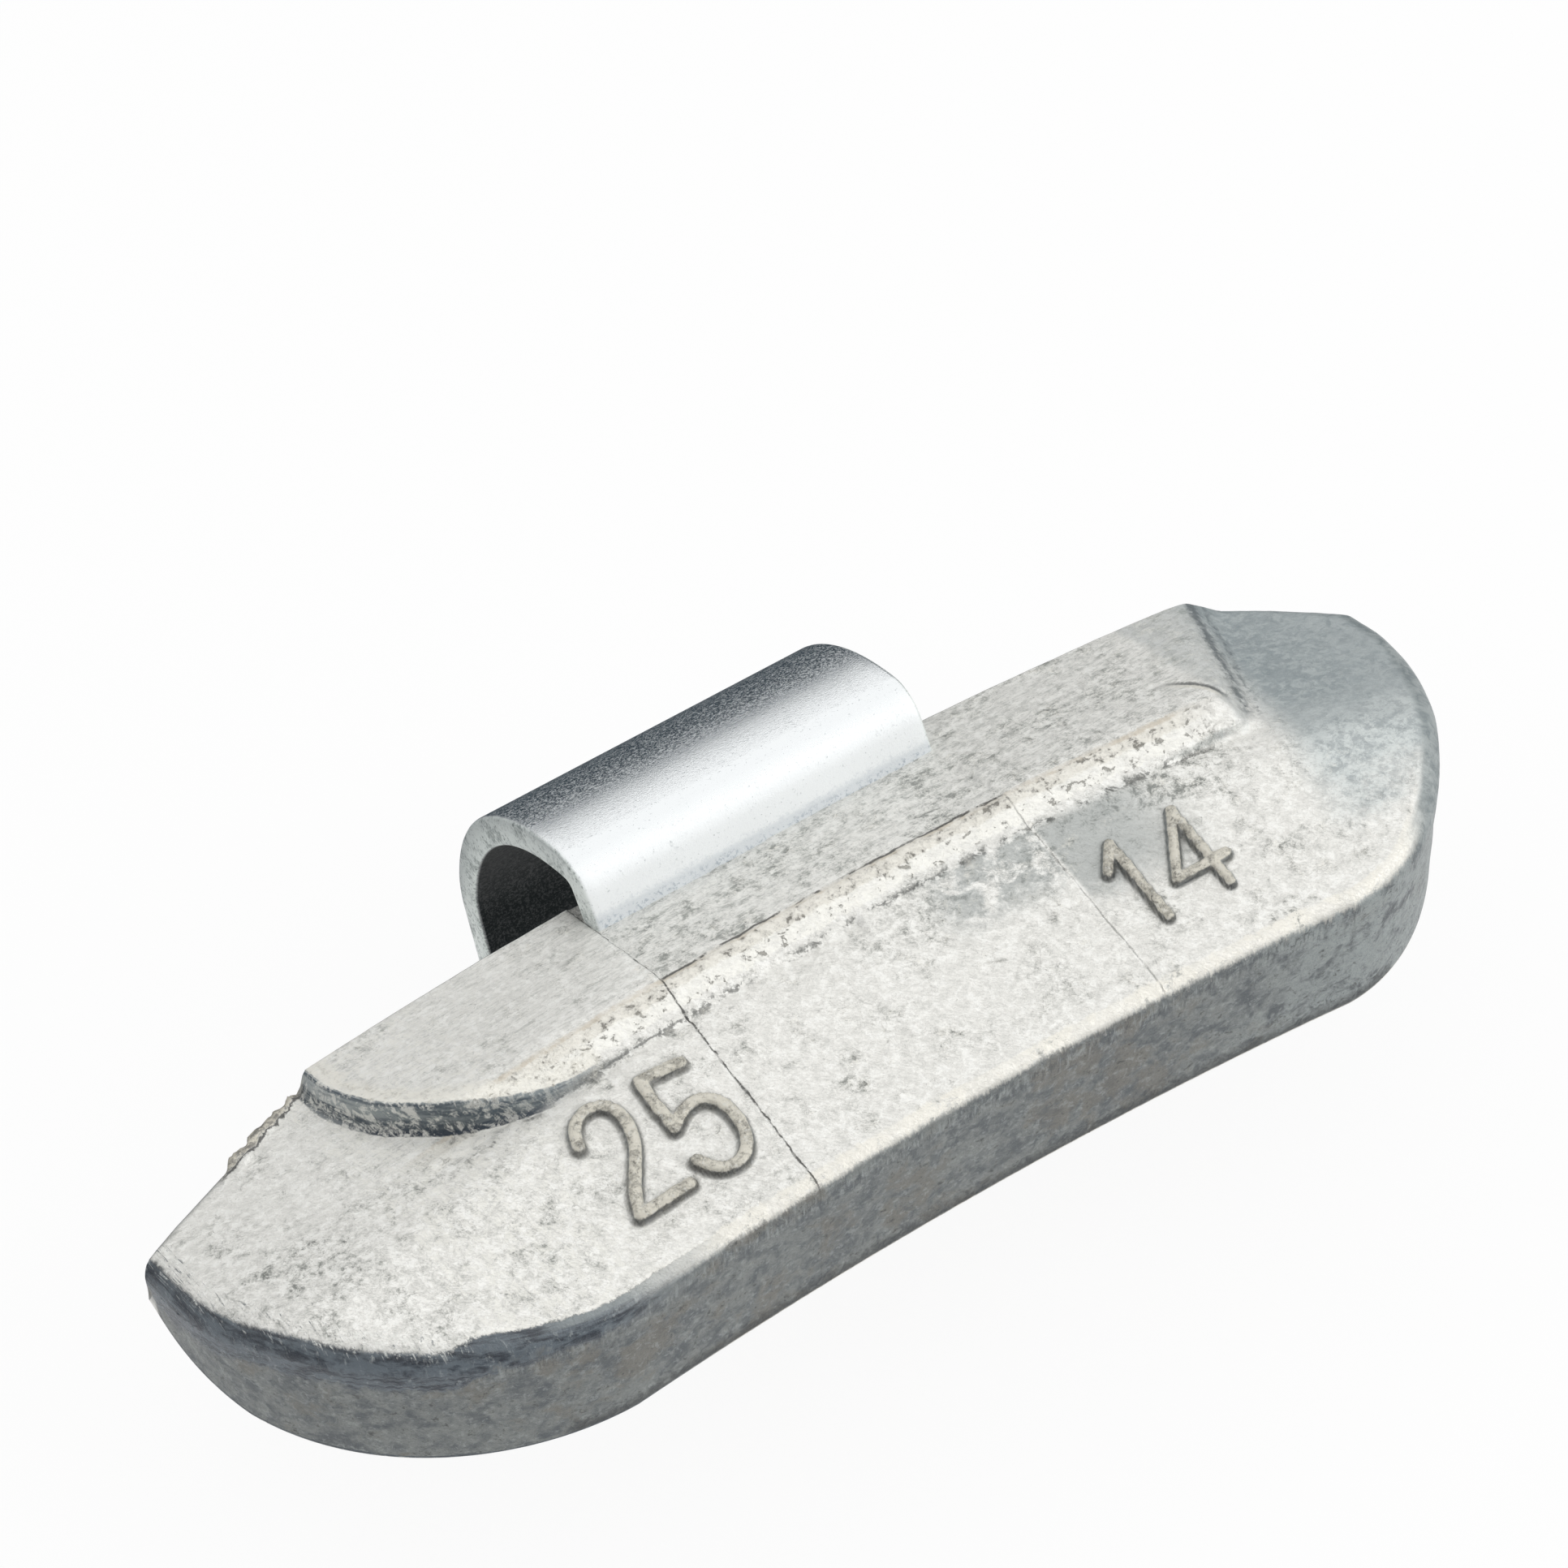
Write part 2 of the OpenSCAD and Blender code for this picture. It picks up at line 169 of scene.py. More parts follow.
def nearest_on(x, y, points):
    """Distance from each place to a chain of straight pieces, and the nearest point on it."""
    best, best_x, best_y = np.full(x.shape, 1.0), x.copy(), y.copy()
    for (ax, ay), (bx, by) in zip(points[:-1], points[1:]):
        dx, dy = bx - ax, by - ay
        t = np.clip(((x - ax) * dx + (y - ay) * dy) / max(dx * dx + dy * dy, 1e-18), 0, 1)
        px, py = ax + t * dx, ay + t * dy
        far = np.hypot(x - px, y - py)
        nearer = far < best
        best, best_x, best_y = (np.where(nearer, new, old) for new, old in
                                ((far, best), (px, best_x), (py, best_y)))
    return best, best_x, best_y


def smooth_chain(points, per_piece=5):
    """A curve through points by the Catmull-Rom rule, with even steps between them."""
    p = np.asarray(points, float)
    p = np.vstack([2 * p[0] - p[1], p, 2 * p[-1] - p[-2]])
    t = np.linspace(0, 1, per_piece, endpoint=False)[None, :, None]
    a, b, c, d = p[:-3, None], p[1:-2, None], p[2:-1, None], p[3:, None]
    curve = 0.5 * (2 * b + (c - a) * t + (2 * a - 5 * b + 4 * c - d) * t ** 2 + (3 * b - a - 3 * c + d) * t ** 3)
    return np.vstack([curve.reshape(-1, 2), p[-2]])


# ---------------------------------------------------------------- meshes

def loops_to_mesh(name, loops, attributes=None, sharp=()):
    """A closed skin from rings of points of shape (rings, points, 3). Each cell between two rings is a quad, and
    the first and last ring are closed by a fan from their middle point. Sharp lists the places in a ring where the
    edge from ring to ring isn't smoothed."""
    rings, count = loops.shape[:2]
    ends = np.stack([loops[0].mean(0), loops[-1].mean(0)])
    co = np.vstack([loops.reshape(-1, 3), ends]).astype(np.float32)
    i, j = np.meshgrid(np.arange(rings - 1), np.arange(count), indexing="ij")
    k = (j + 1) % count
    quads = np.stack([i * count + j, (i + 1) * count + j, (i + 1) * count + k, i * count + k], -1).reshape(-1, 4)
    a = np.arange(count)
    b = (a + 1) % count
    last = (rings - 1) * count
    first_fan = np.stack([a, b, np.full(count, rings * count)], -1)
    last_fan = np.stack([last + b, last + a, np.full(count, rings * count + 1)], -1)
    fans = np.vstack([first_fan, last_fan])
    mesh = bpy.data.meshes.new(name)
    mesh.vertices.add(len(co))
    mesh.vertices.foreach_set("co", co.ravel())
    mesh.loops.add(quads.size + fans.size)
    mesh.loops.foreach_set("vertex_index", np.concatenate([quads.ravel(), fans.ravel()]).astype(np.int32))
    mesh.polygons.add(len(quads) + len(fans))
    starts = np.concatenate([np.arange(len(quads)) * 4, quads.size + np.arange(len(fans)) * 3])
    mesh.polygons.foreach_set("loop_start", starts.astype(np.int32))
    mesh.polygons.foreach_set("use_smooth", np.ones(len(starts), bool))
    mesh.update(calc_edges=True)
    for label, values in (attributes or {}).items():
        layer = mesh.attributes.new(label, "FLOAT", "POINT")
        padded = np.concatenate([values.ravel(), values[[0, -1]].mean(1)])
        layer.data.foreach_set("value", padded.astype(np.float32))
    if sharp:
        ends = np.empty(len(mesh.edges) * 2, np.int32)
        mesh.edges.foreach_get("vertices", ends)
        a, b = ends.reshape(-1, 2).T
        crease = np.isin(a % count, sharp) & (a % count == b % count) & (np.abs(a - b) == count)
        mesh.attributes.new("sharp_edge", "BOOLEAN", "EDGE").data.foreach_set("value", crease)
    mesh.validate()
    return mesh


def ring_normals(loops):
    """Unit normals of a skin's points: the cross product of the steps along and around its rings."""
    along = np.gradient(loops, axis=0)
    around = (np.roll(loops, -1, 1) - np.roll(loops, 1, 1)) / 2
    n = np.cross(along, around)
    return n / np.maximum(np.linalg.norm(n, axis=2, keepdims=True), 1e-15)


def add_piece(name, mesh, material, node):
    """Puts a finished mesh into the scene at the origin, on the object's one body, in place of its CAD node."""
    piece = bpy.data.objects.new(name, mesh)
    bpy.context.scene.collection.objects.link(piece)
    mesh.materials.append(material)
    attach(piece, "root")
    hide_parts(node)
    return piece


# ---------------------------------------------------------------- shader arithmetic

class Num:
    """A number socket. Each Python operator on it adds one Math node."""

    def __init__(self, shader, socket):
        self.shader, self.socket = shader, socket

    def maths(self, operation, *values):
        return self.shader.num("ShaderNodeMath", {"operation": operation}, *values)

    def __add__(self, other): return self.maths("ADD", self, other)
    def __radd__(self, other): return self.maths("ADD", other, self)
    def __sub__(self, other): return self.maths("SUBTRACT", self, other)
    def __rsub__(self, other): return self.maths("SUBTRACT", other, self)
    def __mul__(self, other): return self.maths("MULTIPLY", self, other)
    def __rmul__(self, other): return self.maths("MULTIPLY", other, self)
    def __truediv__(self, other): return self.maths("DIVIDE", self, other)
    def __pow__(self, other): return self.maths("POWER", self, other)
    def __abs__(self): return self.maths("ABSOLUTE", self)
    def low(self, other): return self.maths("MINIMUM", self, other)
    def high(self, other): return self.maths("MAXIMUM", self, other)

    def rise(self, start, end):
        """0 up to start, 1 from end on, 3t² - 2t³ between; start may be the larger one."""
        settings = {"interpolation_type": "SMOOTHSTEP"}
        if start < end:
            return self.shader.num("ShaderNodeMapRange", settings, self, start, end, 0.0, 1.0)
        return self.shader.num("ShaderNodeMapRange", settings, self, end, start, 1.0, 0.0)


class Shader:
    """One material's nodes, made by call."""

    def __init__(self, name):
        self.material = bpy.data.materials.new(name)
        self.material.use_nodes = True
        self.tree = self.material.node_tree
        self.tree.nodes.clear()
        self.out = self.tree.nodes.new("ShaderNodeOutputMaterial")

    def node(self, kind, settings=None, *values, **named):
        made = self.tree.nodes.new(kind)
        for key, value in (settings or {}).items():
            if key == "stops":
                ramp = made.color_ramp.elements
                while len(ramp) < len(value):
                    ramp.new(0.5)
                for stop, (place, shade) in zip(ramp, value):
                    stop.position, stop.color = place, shade
            else:
                setattr(made, key, value)
        inputs = list(zip([s for s in made.inputs if s.enabled], values))
        inputs += [(made.inputs[key.replace("_", " ")], value) for key, value in named.items()]
        for socket, value in inputs:
            if value is None:
                continue
            if isinstance(value, Num):
                value = value.socket
            if isinstance(value, bpy.types.NodeSocket):
                self.tree.links.new(value, socket)
            else:
                socket.default_value = value
        return made

    def num(self, kind, settings, *values, output=0, **named):
        return Num(self, self.node(kind, settings, *values, **named).outputs[output])

    def attribute(self, name):
        return Num(self, self.node("ShaderNodeAttribute", {"attribute_name": name}).outputs["Fac"])

    def places(self):
        """The place on the object in millimetres, as a vector and as its three numbers."""
        raw = self.node("ShaderNodeTexCoord").outputs["Object"]
        mm = self.node("ShaderNodeVectorMath", {"operation": "SCALE"}, raw, Scale=1 / MM).outputs[0]
        split = self.node("ShaderNodeSeparateXYZ", None, mm)
        return mm, [Num(self, split.outputs[k]) for k in range(3)]

    def mapped(self, vector, turn=(0, 0, 0), scale=(1, 1, 1), move=(0, 0, 0)):
        """The vector turned first and then stretched, for streaks along a direction."""
        turned = self.node("ShaderNodeMapping", None, vector, Rotation=turn).outputs[0]
        return self.node("ShaderNodeMapping", None, turned, Scale=scale, Location=move).outputs[0]

    def noise(self, vector, scale, detail=4.0, roughness=0.55, distortion=0.0):
        """Noise with its middle at 0.5; scale is in features per millimetre."""
        return self.num("ShaderNodeTexNoise", {"noise_dimensions": "3D"}, Vector=vector, Scale=scale,
                        Detail=detail, Roughness=roughness, Distortion=distortion)

    def mix(self, factor, a, b, blend="MIX"):
        """A colour between a and b by factor."""
        made = self.tree.nodes.new("ShaderNodeMix")
        made.data_type, made.blend_type = "RGBA", blend
        made.clamp_factor = True
        for socket, value in zip((made.inputs[0], made.inputs[6], made.inputs[7]), (factor, a, b)):
            if isinstance(value, Num):
                value = value.socket
            if isinstance(value, bpy.types.NodeSocket):
                self.tree.links.new(value, socket)
            elif isinstance(value, (int, float)):
                socket.default_value = value
            else:
                socket.default_value = (*value[:3], 1.0)
        return made.outputs[2]

    def bump(self, height, strength, distance, before=None):
        """A Bump node; distance is in metres."""
        return self.node("ShaderNodeBump", None, Strength=strength, Distance=distance, Height=height,
                         Normal=before).outputs[0]

    def finish(self, surface):
        self.tree.links.new(surface.outputs[0], self.out.inputs[0])
        return self.material


# ---------------------------------------------------------------- the casting

# Each end's corner curves, as the CAD body has them: the tip's distance from the near wall, the handles as shares of
# the body's depth, with the side handle as a share of the tip's distance, and the far corner's direction in degrees
CORNERS = {-1: {"tip": 10.1 * MM, "near": 0.31, "side": 0.72, "far_tip": 0.03, "far_rib": 0.06, "turn": 28.0},
           1: {"tip": 10.5 * MM, "near": 0.35, "side": 0.32, "far_tip": 0.03, "far_rib": 0.07, "turn": 24.0}}
# Middle lines of the numbers' strokes, as shares of each number's box, from its lower left corner
TWO = [(0.00, 0.75), (0.07, 0.86), (0.20, 0.95), (0.39, 1.00), (0.60, 0.99), (0.74, 0.92), (0.80, 0.82),
       (0.78, 0.69), (0.70, 0.55), (0.54, 0.41), (0.36, 0.27), (0.22, 0.14), (0.12, 0.00)]
TWO_FOOT = [(0.12, 0.00), (0.37, 0.01), (0.68, 0.02), (1.00, 0.03)]
FIVE_TOP = [(0.80, 0.97), (0.42, 0.99), (0.05, 1.00)]
FIVE_STEM = [(0.05, 1.00), (0.03, 0.75), (0.04, 0.50)]
FIVE_BOWL = [(0.04, 0.50), (0.20, 0.56), (0.36, 0.60), (0.55, 0.62), (0.75, 0.60), (0.92, 0.51), (0.99, 0.36),
             (0.95, 0.19), (0.79, 0.06), (0.57, 0.00), (0.31, 0.01), (0.14, 0.08), (0.01, 0.17)]
ONE = [(0.10, 0.72), (0.60, 1.00), (0.60, 0.00)]
# The short curved crack behind the ridge's right end: its circle's middle and radius in millimetres
END_CRACK = (12.6, -7.4, 3.05)
FOUR = [(1.00, 0.30), (0.00, 0.30), (0.72, 1.00), (0.72, 0.00)]


def number_lines():
    """The strokes of the raised numbers in metres: the weight at the left of the clip, the size at the right."""
    boxes = [(TWO, -12.5, 2.25), (TWO_FOOT, -12.5, 2.25), (FIVE_TOP, -9.62, 2.0), (FIVE_STEM, -9.62, 2.0),
             (FIVE_BOWL, -9.62, 2.0)]
    lines = [smooth_chain(np.array(shares) * (width, 4.4) + (left, -13.56)) * MM for shares, left, width in boxes]
    lines.append((np.array(ONE) * (1.4, 3.5) + (7.7, -13.3)) * MM)
    lines.append((np.array(FOUR) * (2.0, 3.5) + (9.6, -13.3)) * MM)
    return lines


def stroke_gap(x, y):
    """Distance from each place to the middle lines of the numbers, and the nearest point on them."""
    found = [nearest_on(x, y, line) for line in number_lines()]
    gaps = np.stack([each[0] for each in found])
    pick = gaps.argmin(0)[None]
    return [np.take_along_axis(np.stack([each[k] for each in found]), pick, 0)[0] for k in range(3)]


class Casting:
    """The zinc body's outline and heights, worked out as whole arrays in metres."""

    def __init__(self, s):
        self.s = s
        self.near_y = -s.depth
        self.near_radius = s.rim_radius - s.depth
        self.near_half, self.tip_flat = 14.2 * MM, 1.0 * MM
        self.end_middle = (s.rib_end_radius - s.rib_left, self.near_at(s.rib_left) + s.ridge_inset + s.rib_end_radius)

    def near_at(self, x):
        """The near wall's arc around the wheel's axis: y = -depth - (r - sqrt(r² - x²))."""
        return self.near_y - self.near_radius + np.sqrt(self.near_radius ** 2 - x * x)

    def far_at(self, x):
        return -self.s.rim_radius + np.sqrt(self.s.rim_radius ** 2 - x * x)

    def place(self, x, y):
        """Distance from the near wall, measured along a radius of the wheel."""
        return np.hypot(x, y + self.s.rim_radius) - self.near_radius

    def corner_lines(self, side, t):
        """Points of one end's near and far corner, t from 0 at the tip to 1 at the straight part."""
        s, shares = self.s, CORNERS[side]
        reach, far_reach = (-s.left_reach, -s.rib_left) if side < 0 else (s.right_reach, s.far_right)
        turn, tip = math.radians(shares["turn"]), self.near_y + shares["tip"]
        near_end = (side * self.near_half, self.near_at(self.near_half))
        near = [(reach, tip), (reach, tip - shares["side"] * shares["tip"]),
                (near_end[0] + side * shares["near"] * s.depth, near_end[1]), near_end]
        far_tip, handle = tip + self.tip_flat, shares["far_rib"] * s.depth
        far_end = (far_reach, self.far_at(far_reach))
        far = [(reach, far_tip), (reach, far_tip + shares["far_tip"] * s.depth),
               (far_end[0] + side * handle * math.cos(turn), far_end[1] - handle * math.sin(turn)), far_end]
        return bezier(near, t), bezier(far, t)

    def chains(self, corner_rows=122, middle_rows=270):
        """The near and far outline, row by row from the left tip to the right tip."""
        t = np.linspace(0, 1, corner_rows, endpoint=False) ** 1.15
        left_near, left_far = self.corner_lines(-1, t)
        right_near, right_far = self.corner_lines(1, t)
        near_x = np.linspace(-self.near_half, self.near_half, middle_rows)
        far_x = np.linspace(-self.s.rib_left, self.s.far_right, middle_rows)
        near = np.vstack([left_near, np.stack([near_x, self.near_at(near_x)], 1), right_near[::-1]])
        far = np.vstack([left_far, np.stack([far_x, self.far_at(far_x)], 1), right_far[::-1]])
        return near, far

    def end_offset(self, x, y):
        """Vector from the middle of the rib's rounded left end to a place, without the parts that lie to the right
        or beyond, so that its length less the radius is the distance outside the rib."""
        return np.minimum(x - self.end_middle[0], 0), np.minimum(y - self.end_middle[1], 0)

    def gather(self, x, y):
        """Moves grid places towards the rib's step and the numbers' edges, where the height changes fast. Across an
        edge at t = 0, t becomes t (1 - k (1 - (t/w)²)²), which leaves places beyond w alone."""
        def pull(t, k, w):
            return -t * k * np.clip(1 - (t / w) ** 2, 0, None) ** 2

        ox, oy = self.end_offset(x, y)
        out = np.maximum(np.hypot(ox, oy), 1e-9)
        t = out - self.s.rib_end_radius + 0.3 * MM
        shift = pull(t, 0.74, 0.95 * MM) * ease((self.s.depth - 0.2 * MM - self.place(x, y)) / (0.9 * MM)) \
            * ease((15.5 * MM - x) / (2 * MM))
        x, y = x + shift * ox / out, y + shift * oy / out
        gap, nearest_x, nearest_y = stroke_gap(x, y)
        shift = pull(gap - 0.235 * MM, 0.62, 0.235 * MM)
        scale = shift / np.maximum(gap, 1e-9)
        return x + scale * (x - nearest_x), y + scale * (y - nearest_y)

    def heights(self, x, y, near_gap, far_gap):
        """Height of the top skin, and masks for the finish: plain slopes and face, less the rounded edges, then the
        rib with its ridge, the middle insert's step and the numbers."""
        s = self.s
        place = self.place(x, y)
        along = np.where(x < 0, 0.077, 0.15)
        reach = np.maximum(np.abs(x), 6.75 * MM)
        slope = s.face_height - 0.453 * (y - self.near_y - 5.85 * MM) - along * (reach - 16.5 * MM)
        top = soft_low(s.face_height, slope, 0.35 * MM)
        radius = s.edge_radius + (s.corner_radius - s.edge_radius) * ease(
            (np.abs(x) - self.near_half) / (s.right_reach - self.near_half))
        radius = radius * (1 + 0.12 * uneven(x, y, 2.1 * MM, 5))
        # The far edge's small rounding grows to the near edge's towards the right tip
        far_radius = 0.3 * MM + (s.corner_radius - 0.3 * MM) * ease((x - 18.6 * MM) / (s.right_reach - 18.6 * MM))
        drops = []
        for gap, r in ((near_gap, radius), (far_gap, far_radius)):
            inside = np.clip(r - gap, 0, None)
            drops.append(r - np.sqrt(np.maximum(r * r - inside * inside, 0)))
        top = top - np.maximum(*drops)
        # The rib: a chamfer up to the ridge, then a plain fall to the far wall
        ridge = s.ridge_inset + 1.2 * MM
        rise = s.face_height + s.ridge_height * (place - s.ridge_inset) / (1.2 * MM)
        fall_rate = (s.face_height + s.ridge_height - 3.0 * MM) / (s.depth - ridge)
        fall = s.face_height + s.ridge_height - fall_rate * (place - ridge)
        middle = ease((6.85 * MM - np.abs(x)) / (0.12 * MM))
        streak = rough(x / 9, y, 0.16 * MM, 31)
        behind = ease((place - ridge + 0.1 * MM) / (0.15 * MM))
        fall = fall - middle * behind * (0.15 + 0.03 * streak) * MM
        rib = soft_low(rise, fall, 0.3 * MM)
        ramp = s.face_height + s.ridge_height - 1.11 * (x - s.rib_right)
        rib = soft_low(rib, ramp + rough(x, y, 1.1 * MM, 13) * 0.07 * MM, 0.45 * MM)
        inside = s.rib_end_radius - np.hypot(*self.end_offset(x, y)) + rough(x, y, 1.5 * MM, 11) * 0.035 * MM
        on_rib = ease((inside - 0.06 * MM) / (0.47 * MM)) * ease((place - s.ridge_inset + 0.5 * MM) / (0.4 * MM))
        foot = (0.04 + 0.24 * ease((x - 14.0 * MM) / (3.0 * MM))) * MM
        step = (rib - top + np.sqrt((rib - top) ** 2 + foot * foot)) / 2
        step = np.maximum(step - 0.02 * MM, 0)
        top = top + step * on_rib
        # The middle insert stands a hair proud and ends in a lip just before the ridge's top
        lip = ease((ridge - 0.25 * MM - place) / (0.08 * MM))
        top = top + middle * lip * 0.03 * MM
        # Fine relief of the cast skin
        skin = rough(x, y, 1.1 * MM, 3) * s.unevenness
        skin = skin + rough(x, y, 0.33 * MM, 17, 2) * 0.006 * MM
        pitted = np.exp(-((place - 8.9 * MM) / (0.55 * MM)) ** 2) * ease((17 * MM - np.abs(x + 1.2 * MM)) / (2 * MM))
        skin = skin - pitted * np.maximum(rough(x, y, 0.42 * MM, 23), 0) * 0.07 * MM
        top = top + skin
        # Lumps at the ridge's right end, and a short crack round them
        end = np.exp(-((x - 14.5 * MM) / (1.0 * MM)) ** 2 - ((y + 7.2 * MM) / (0.6 * MM)) ** 2)
        top = top + end * (0.3 + rough(x, y, 0.55 * MM, 37)) * 0.16 * MM
        from_arc = np.hypot(x - END_CRACK[0] * MM, y - END_CRACK[1] * MM) - END_CRACK[2] * MM
        torn = np.exp(-(from_arc / (0.13 * MM)) ** 2) * ease((x - 13.3 * MM) / (0.9 * MM)) * ease(
            (y + 6.9 * MM) / (0.7 * MM))
        top = top - torn * 0.08 * MM
        # Thin overlapping flash along the left end's far edge
        flash = ease((0.42 * MM + 0.25 * uneven(x, y, 0.5 * MM, 41) * MM - far_gap) / (0.1 * MM))
        flash = flash * ease((x + 21.3 * MM) / (0.5 * MM)) * ease((-17.9 * MM - x) / (0.3 * MM))
        top = top + flash * 0.13 * MM
        # The numbers: strokes with a flat crown and sloping sides
        gap = stroke_gap(x, y)[0] * np.where(x > 0, 1.2, 1.0) + 0.02 * MM * uneven(x, y, 0.35 * MM, 9)
        crown = ease((0.6 * s.stroke_width + 0.05 * MM - gap) / (0.16 * MM))
        top = top + crown * s.stroke_height * (1 - 0.12 * np.maximum(uneven(x, y, 0.5 * MM, 29), 0))
        masks = {
            "stroke_gap": np.clip(gap / MM, 0, 1.5),
            "rib_gap": np.clip(inside / MM, -3, 4),
            "far_gap": np.clip(far_gap / MM, 0, 3),
            "step_high": ease((step - 0.2 * MM) / (0.35 * MM)) * ease((-9.5 * MM - x) / (1.5 * MM)),
            "ramp": ease((x - s.rib_right + 0.5 * MM) / (1.2 * MM)) * ease((step - 0.12 * MM) / (0.3 * MM)),
        }
        return np.clip(top, 0.2 * MM, BODY_HIGH.z - 0.002 * MM), masks


def cast_body(s):
    """The casting as one skin. Each ring runs over the top from the near to the far wall, down the far wall, back
    under the body and up the near wall; the rings follow each other from the left tip to the right tip."""
    c = Casting(s)
    near, far = c.chains()
    width = np.hypot(*(far - near).T)[:, None]
    fit = np.minimum(1, width / (3 * s.corner_radius))
    fillet, field, edge = 12, 122, 4
    a, b = s.corner_radius * fit, width - 0.3 * MM * fit
    u = (np.arange(fillet) / fillet)[None] ** 1.6
    v = (np.arange(field) / field)[None]
    v = v + 0.1 * np.sin(math.pi * v) * (v - 1) * 0.9
    w = (np.arange(edge + 1) / edge)[None]
    share = np.hstack([a * u, a + (b - a) * v, b + (width - b) * (1 - (1 - w) ** 1.6)]) / width
    xy = near[:, None] + share[..., None] * (far - near)[:, None]
    x, y = c.gather(xy[..., 0], xy[..., 1])
    rim = np.vstack([far[:1], near[:123:3], near[123:-123:6], near[-123::3], near[-1:], far[-1:]])
    near_gap = nearest_on(x, y, rim)[0]
    far_gap = nearest_on(x, y, np.vstack([far[:120:3], far[120:-120:6], far[-120::3], far[-1:]]))[0]
    near_gap = np.where(np.abs(x) < 14 * MM, np.maximum(c.place(x, y), 0), near_gap)
    far_gap = np.where((x > -17.5 * MM) & (x < 19 * MM), np.maximum(s.depth - c.place(x, y), 0), far_gap)
    z, masks = c.heights(x, y, near_gap, far_gap)
    top = np.dstack([x, y, z])
    corner = ease((np.abs(x) - c.near_half) / (s.right_reach - c.near_half))
    masks["band"] = 1 - np.clip(near_gap / (s.edge_radius + (s.corner_radius - s.edge_radius) * corner), 0, 1)

    def back_height(x, y):
        """The back is flat next to the near wall and rises to the far wall from 7.8 mm on."""
        rise = np.maximum(0, c.place(x, y) - 7.8 * MM) / (s.depth - 7.8 * MM)
        return rise * 1.35 * MM

    def wall(start, end, levels, seed, out):
        """Points between two edges, straight down, with the skin's waves pushed inwards only."""
        t = (np.arange(1, levels) / levels)[None, :, None]
        points = start[:, None] * (1 - t) + end[:, None] * t
        wave = 0.5 + 0.5 * rough(points[..., 0] + points[..., 1], points[..., 2], 0.9 * MM, seed)
        depth = -0.035 * MM * wave * np.sin(math.pi * t[..., 0])
        points[..., :2] += out[:, None] * depth[..., None]
        return points

    def outwards(chain, sign):
        """Unit normals of an outline in the plane."""
        d = np.gradient(chain, axis=0)
        n = np.stack([d[:, 1], -d[:, 0]], 1) * sign
        return n / np.linalg.norm(n, axis=1, keepdims=True)

    def back_edge(edge, fin):
        """The wall's upper edge just under the fin, drawn back in by the fin's width."""
        under_fin = edge.copy()
        under_fin[:, :2] -= (fin[:, None] * outwards(far, -1)) * 0.9
        return under_fin

    under = (np.arange(19) / 18)[None, ::-1, None]
    back_xy = near[:, None] + under * (far - near)[:, None]
    back_z = back_height(back_xy[..., 0], back_xy[..., 1])
    skin = 0.012 * MM * (1 + rough(back_xy[..., 0], back_xy[..., 1], 1.7 * MM, 61)) / 2
    skin = skin * np.sin(math.pi * under[..., 0])
    back = np.dstack([back_xy, back_z + skin])
    fin = ease((far[:, 0] + 21.6 * MM) / (0.6 * MM)) * ease((-17.7 * MM - far[:, 0]) / (0.3 * MM))
    fin = fin * np.clip(0.5 + 1.1 * rough(far[:, 0], far[:, 1], 0.6 * MM, 43), 0, 1.2) * 0.22 * MM
    top[:, -3:, :2] += (fin[:, None] * outwards(far, -1))[:, None] * np.array([0.45, 1.0, 0.9])[:, None]
    far_wall = wall(back_edge(top[:, -1], fin), back[:, 0], 9, 71, outwards(far, -1))
    near_wall = wall(back[:, -1], top[:, 0], 15, 73, outwards(near, 1))
    rings = np.hstack([top, far_wall, back, near_wall])
    counts = [top.shape[1], far_wall.shape[1], back.shape[1], near_wall.shape[1]]
    beyond = {"stroke_gap": 1.5, "far_gap": 3.0}
    attributes = {key: np.hstack([value, np.full((len(rings), sum(counts[1:])), beyond.get(key, 0.0))])
                  for key, value in masks.items()}
    attributes["rib_gap"][:, counts[0]:] = masks["rib_gap"][:, -1:]
    # On the near wall the band's number goes on from 1 at the top edge by 1 per millimetre downwards
    attributes["band"][:, -counts[3]:] = 1 + (top[:, :1, 2] - near_wall[..., 2]) / MM
    normals = ring_normals(rings)
    # How steep the skin is; steep walls get a darker tone, partly painted shade
    attributes["upright"] = ease((0.88 - np.abs(normals[..., 2])) / 0.5)
    attributes["upright"][:, [sum(counts[:2]), sum(counts[:3]) - 1]] = 1
    # How much the skin faces the near side, for the painted shade on the numbers' sides
    attributes["faces_near"] = ease(0.42 - 1.1 * normals[..., 1] - 0.55 * normals[..., 0])
    run = np.concatenate([[0], np.cumsum(np.hypot(*np.diff(near, axis=0).T))])
    attributes["run"] = np.tile((run / MM)[:, None], (1, rings.shape[1]))
    return loops_to_mesh("weight_body_skin", rings, attributes, (sum(counts[:2]), sum(counts[:3]) - 1))


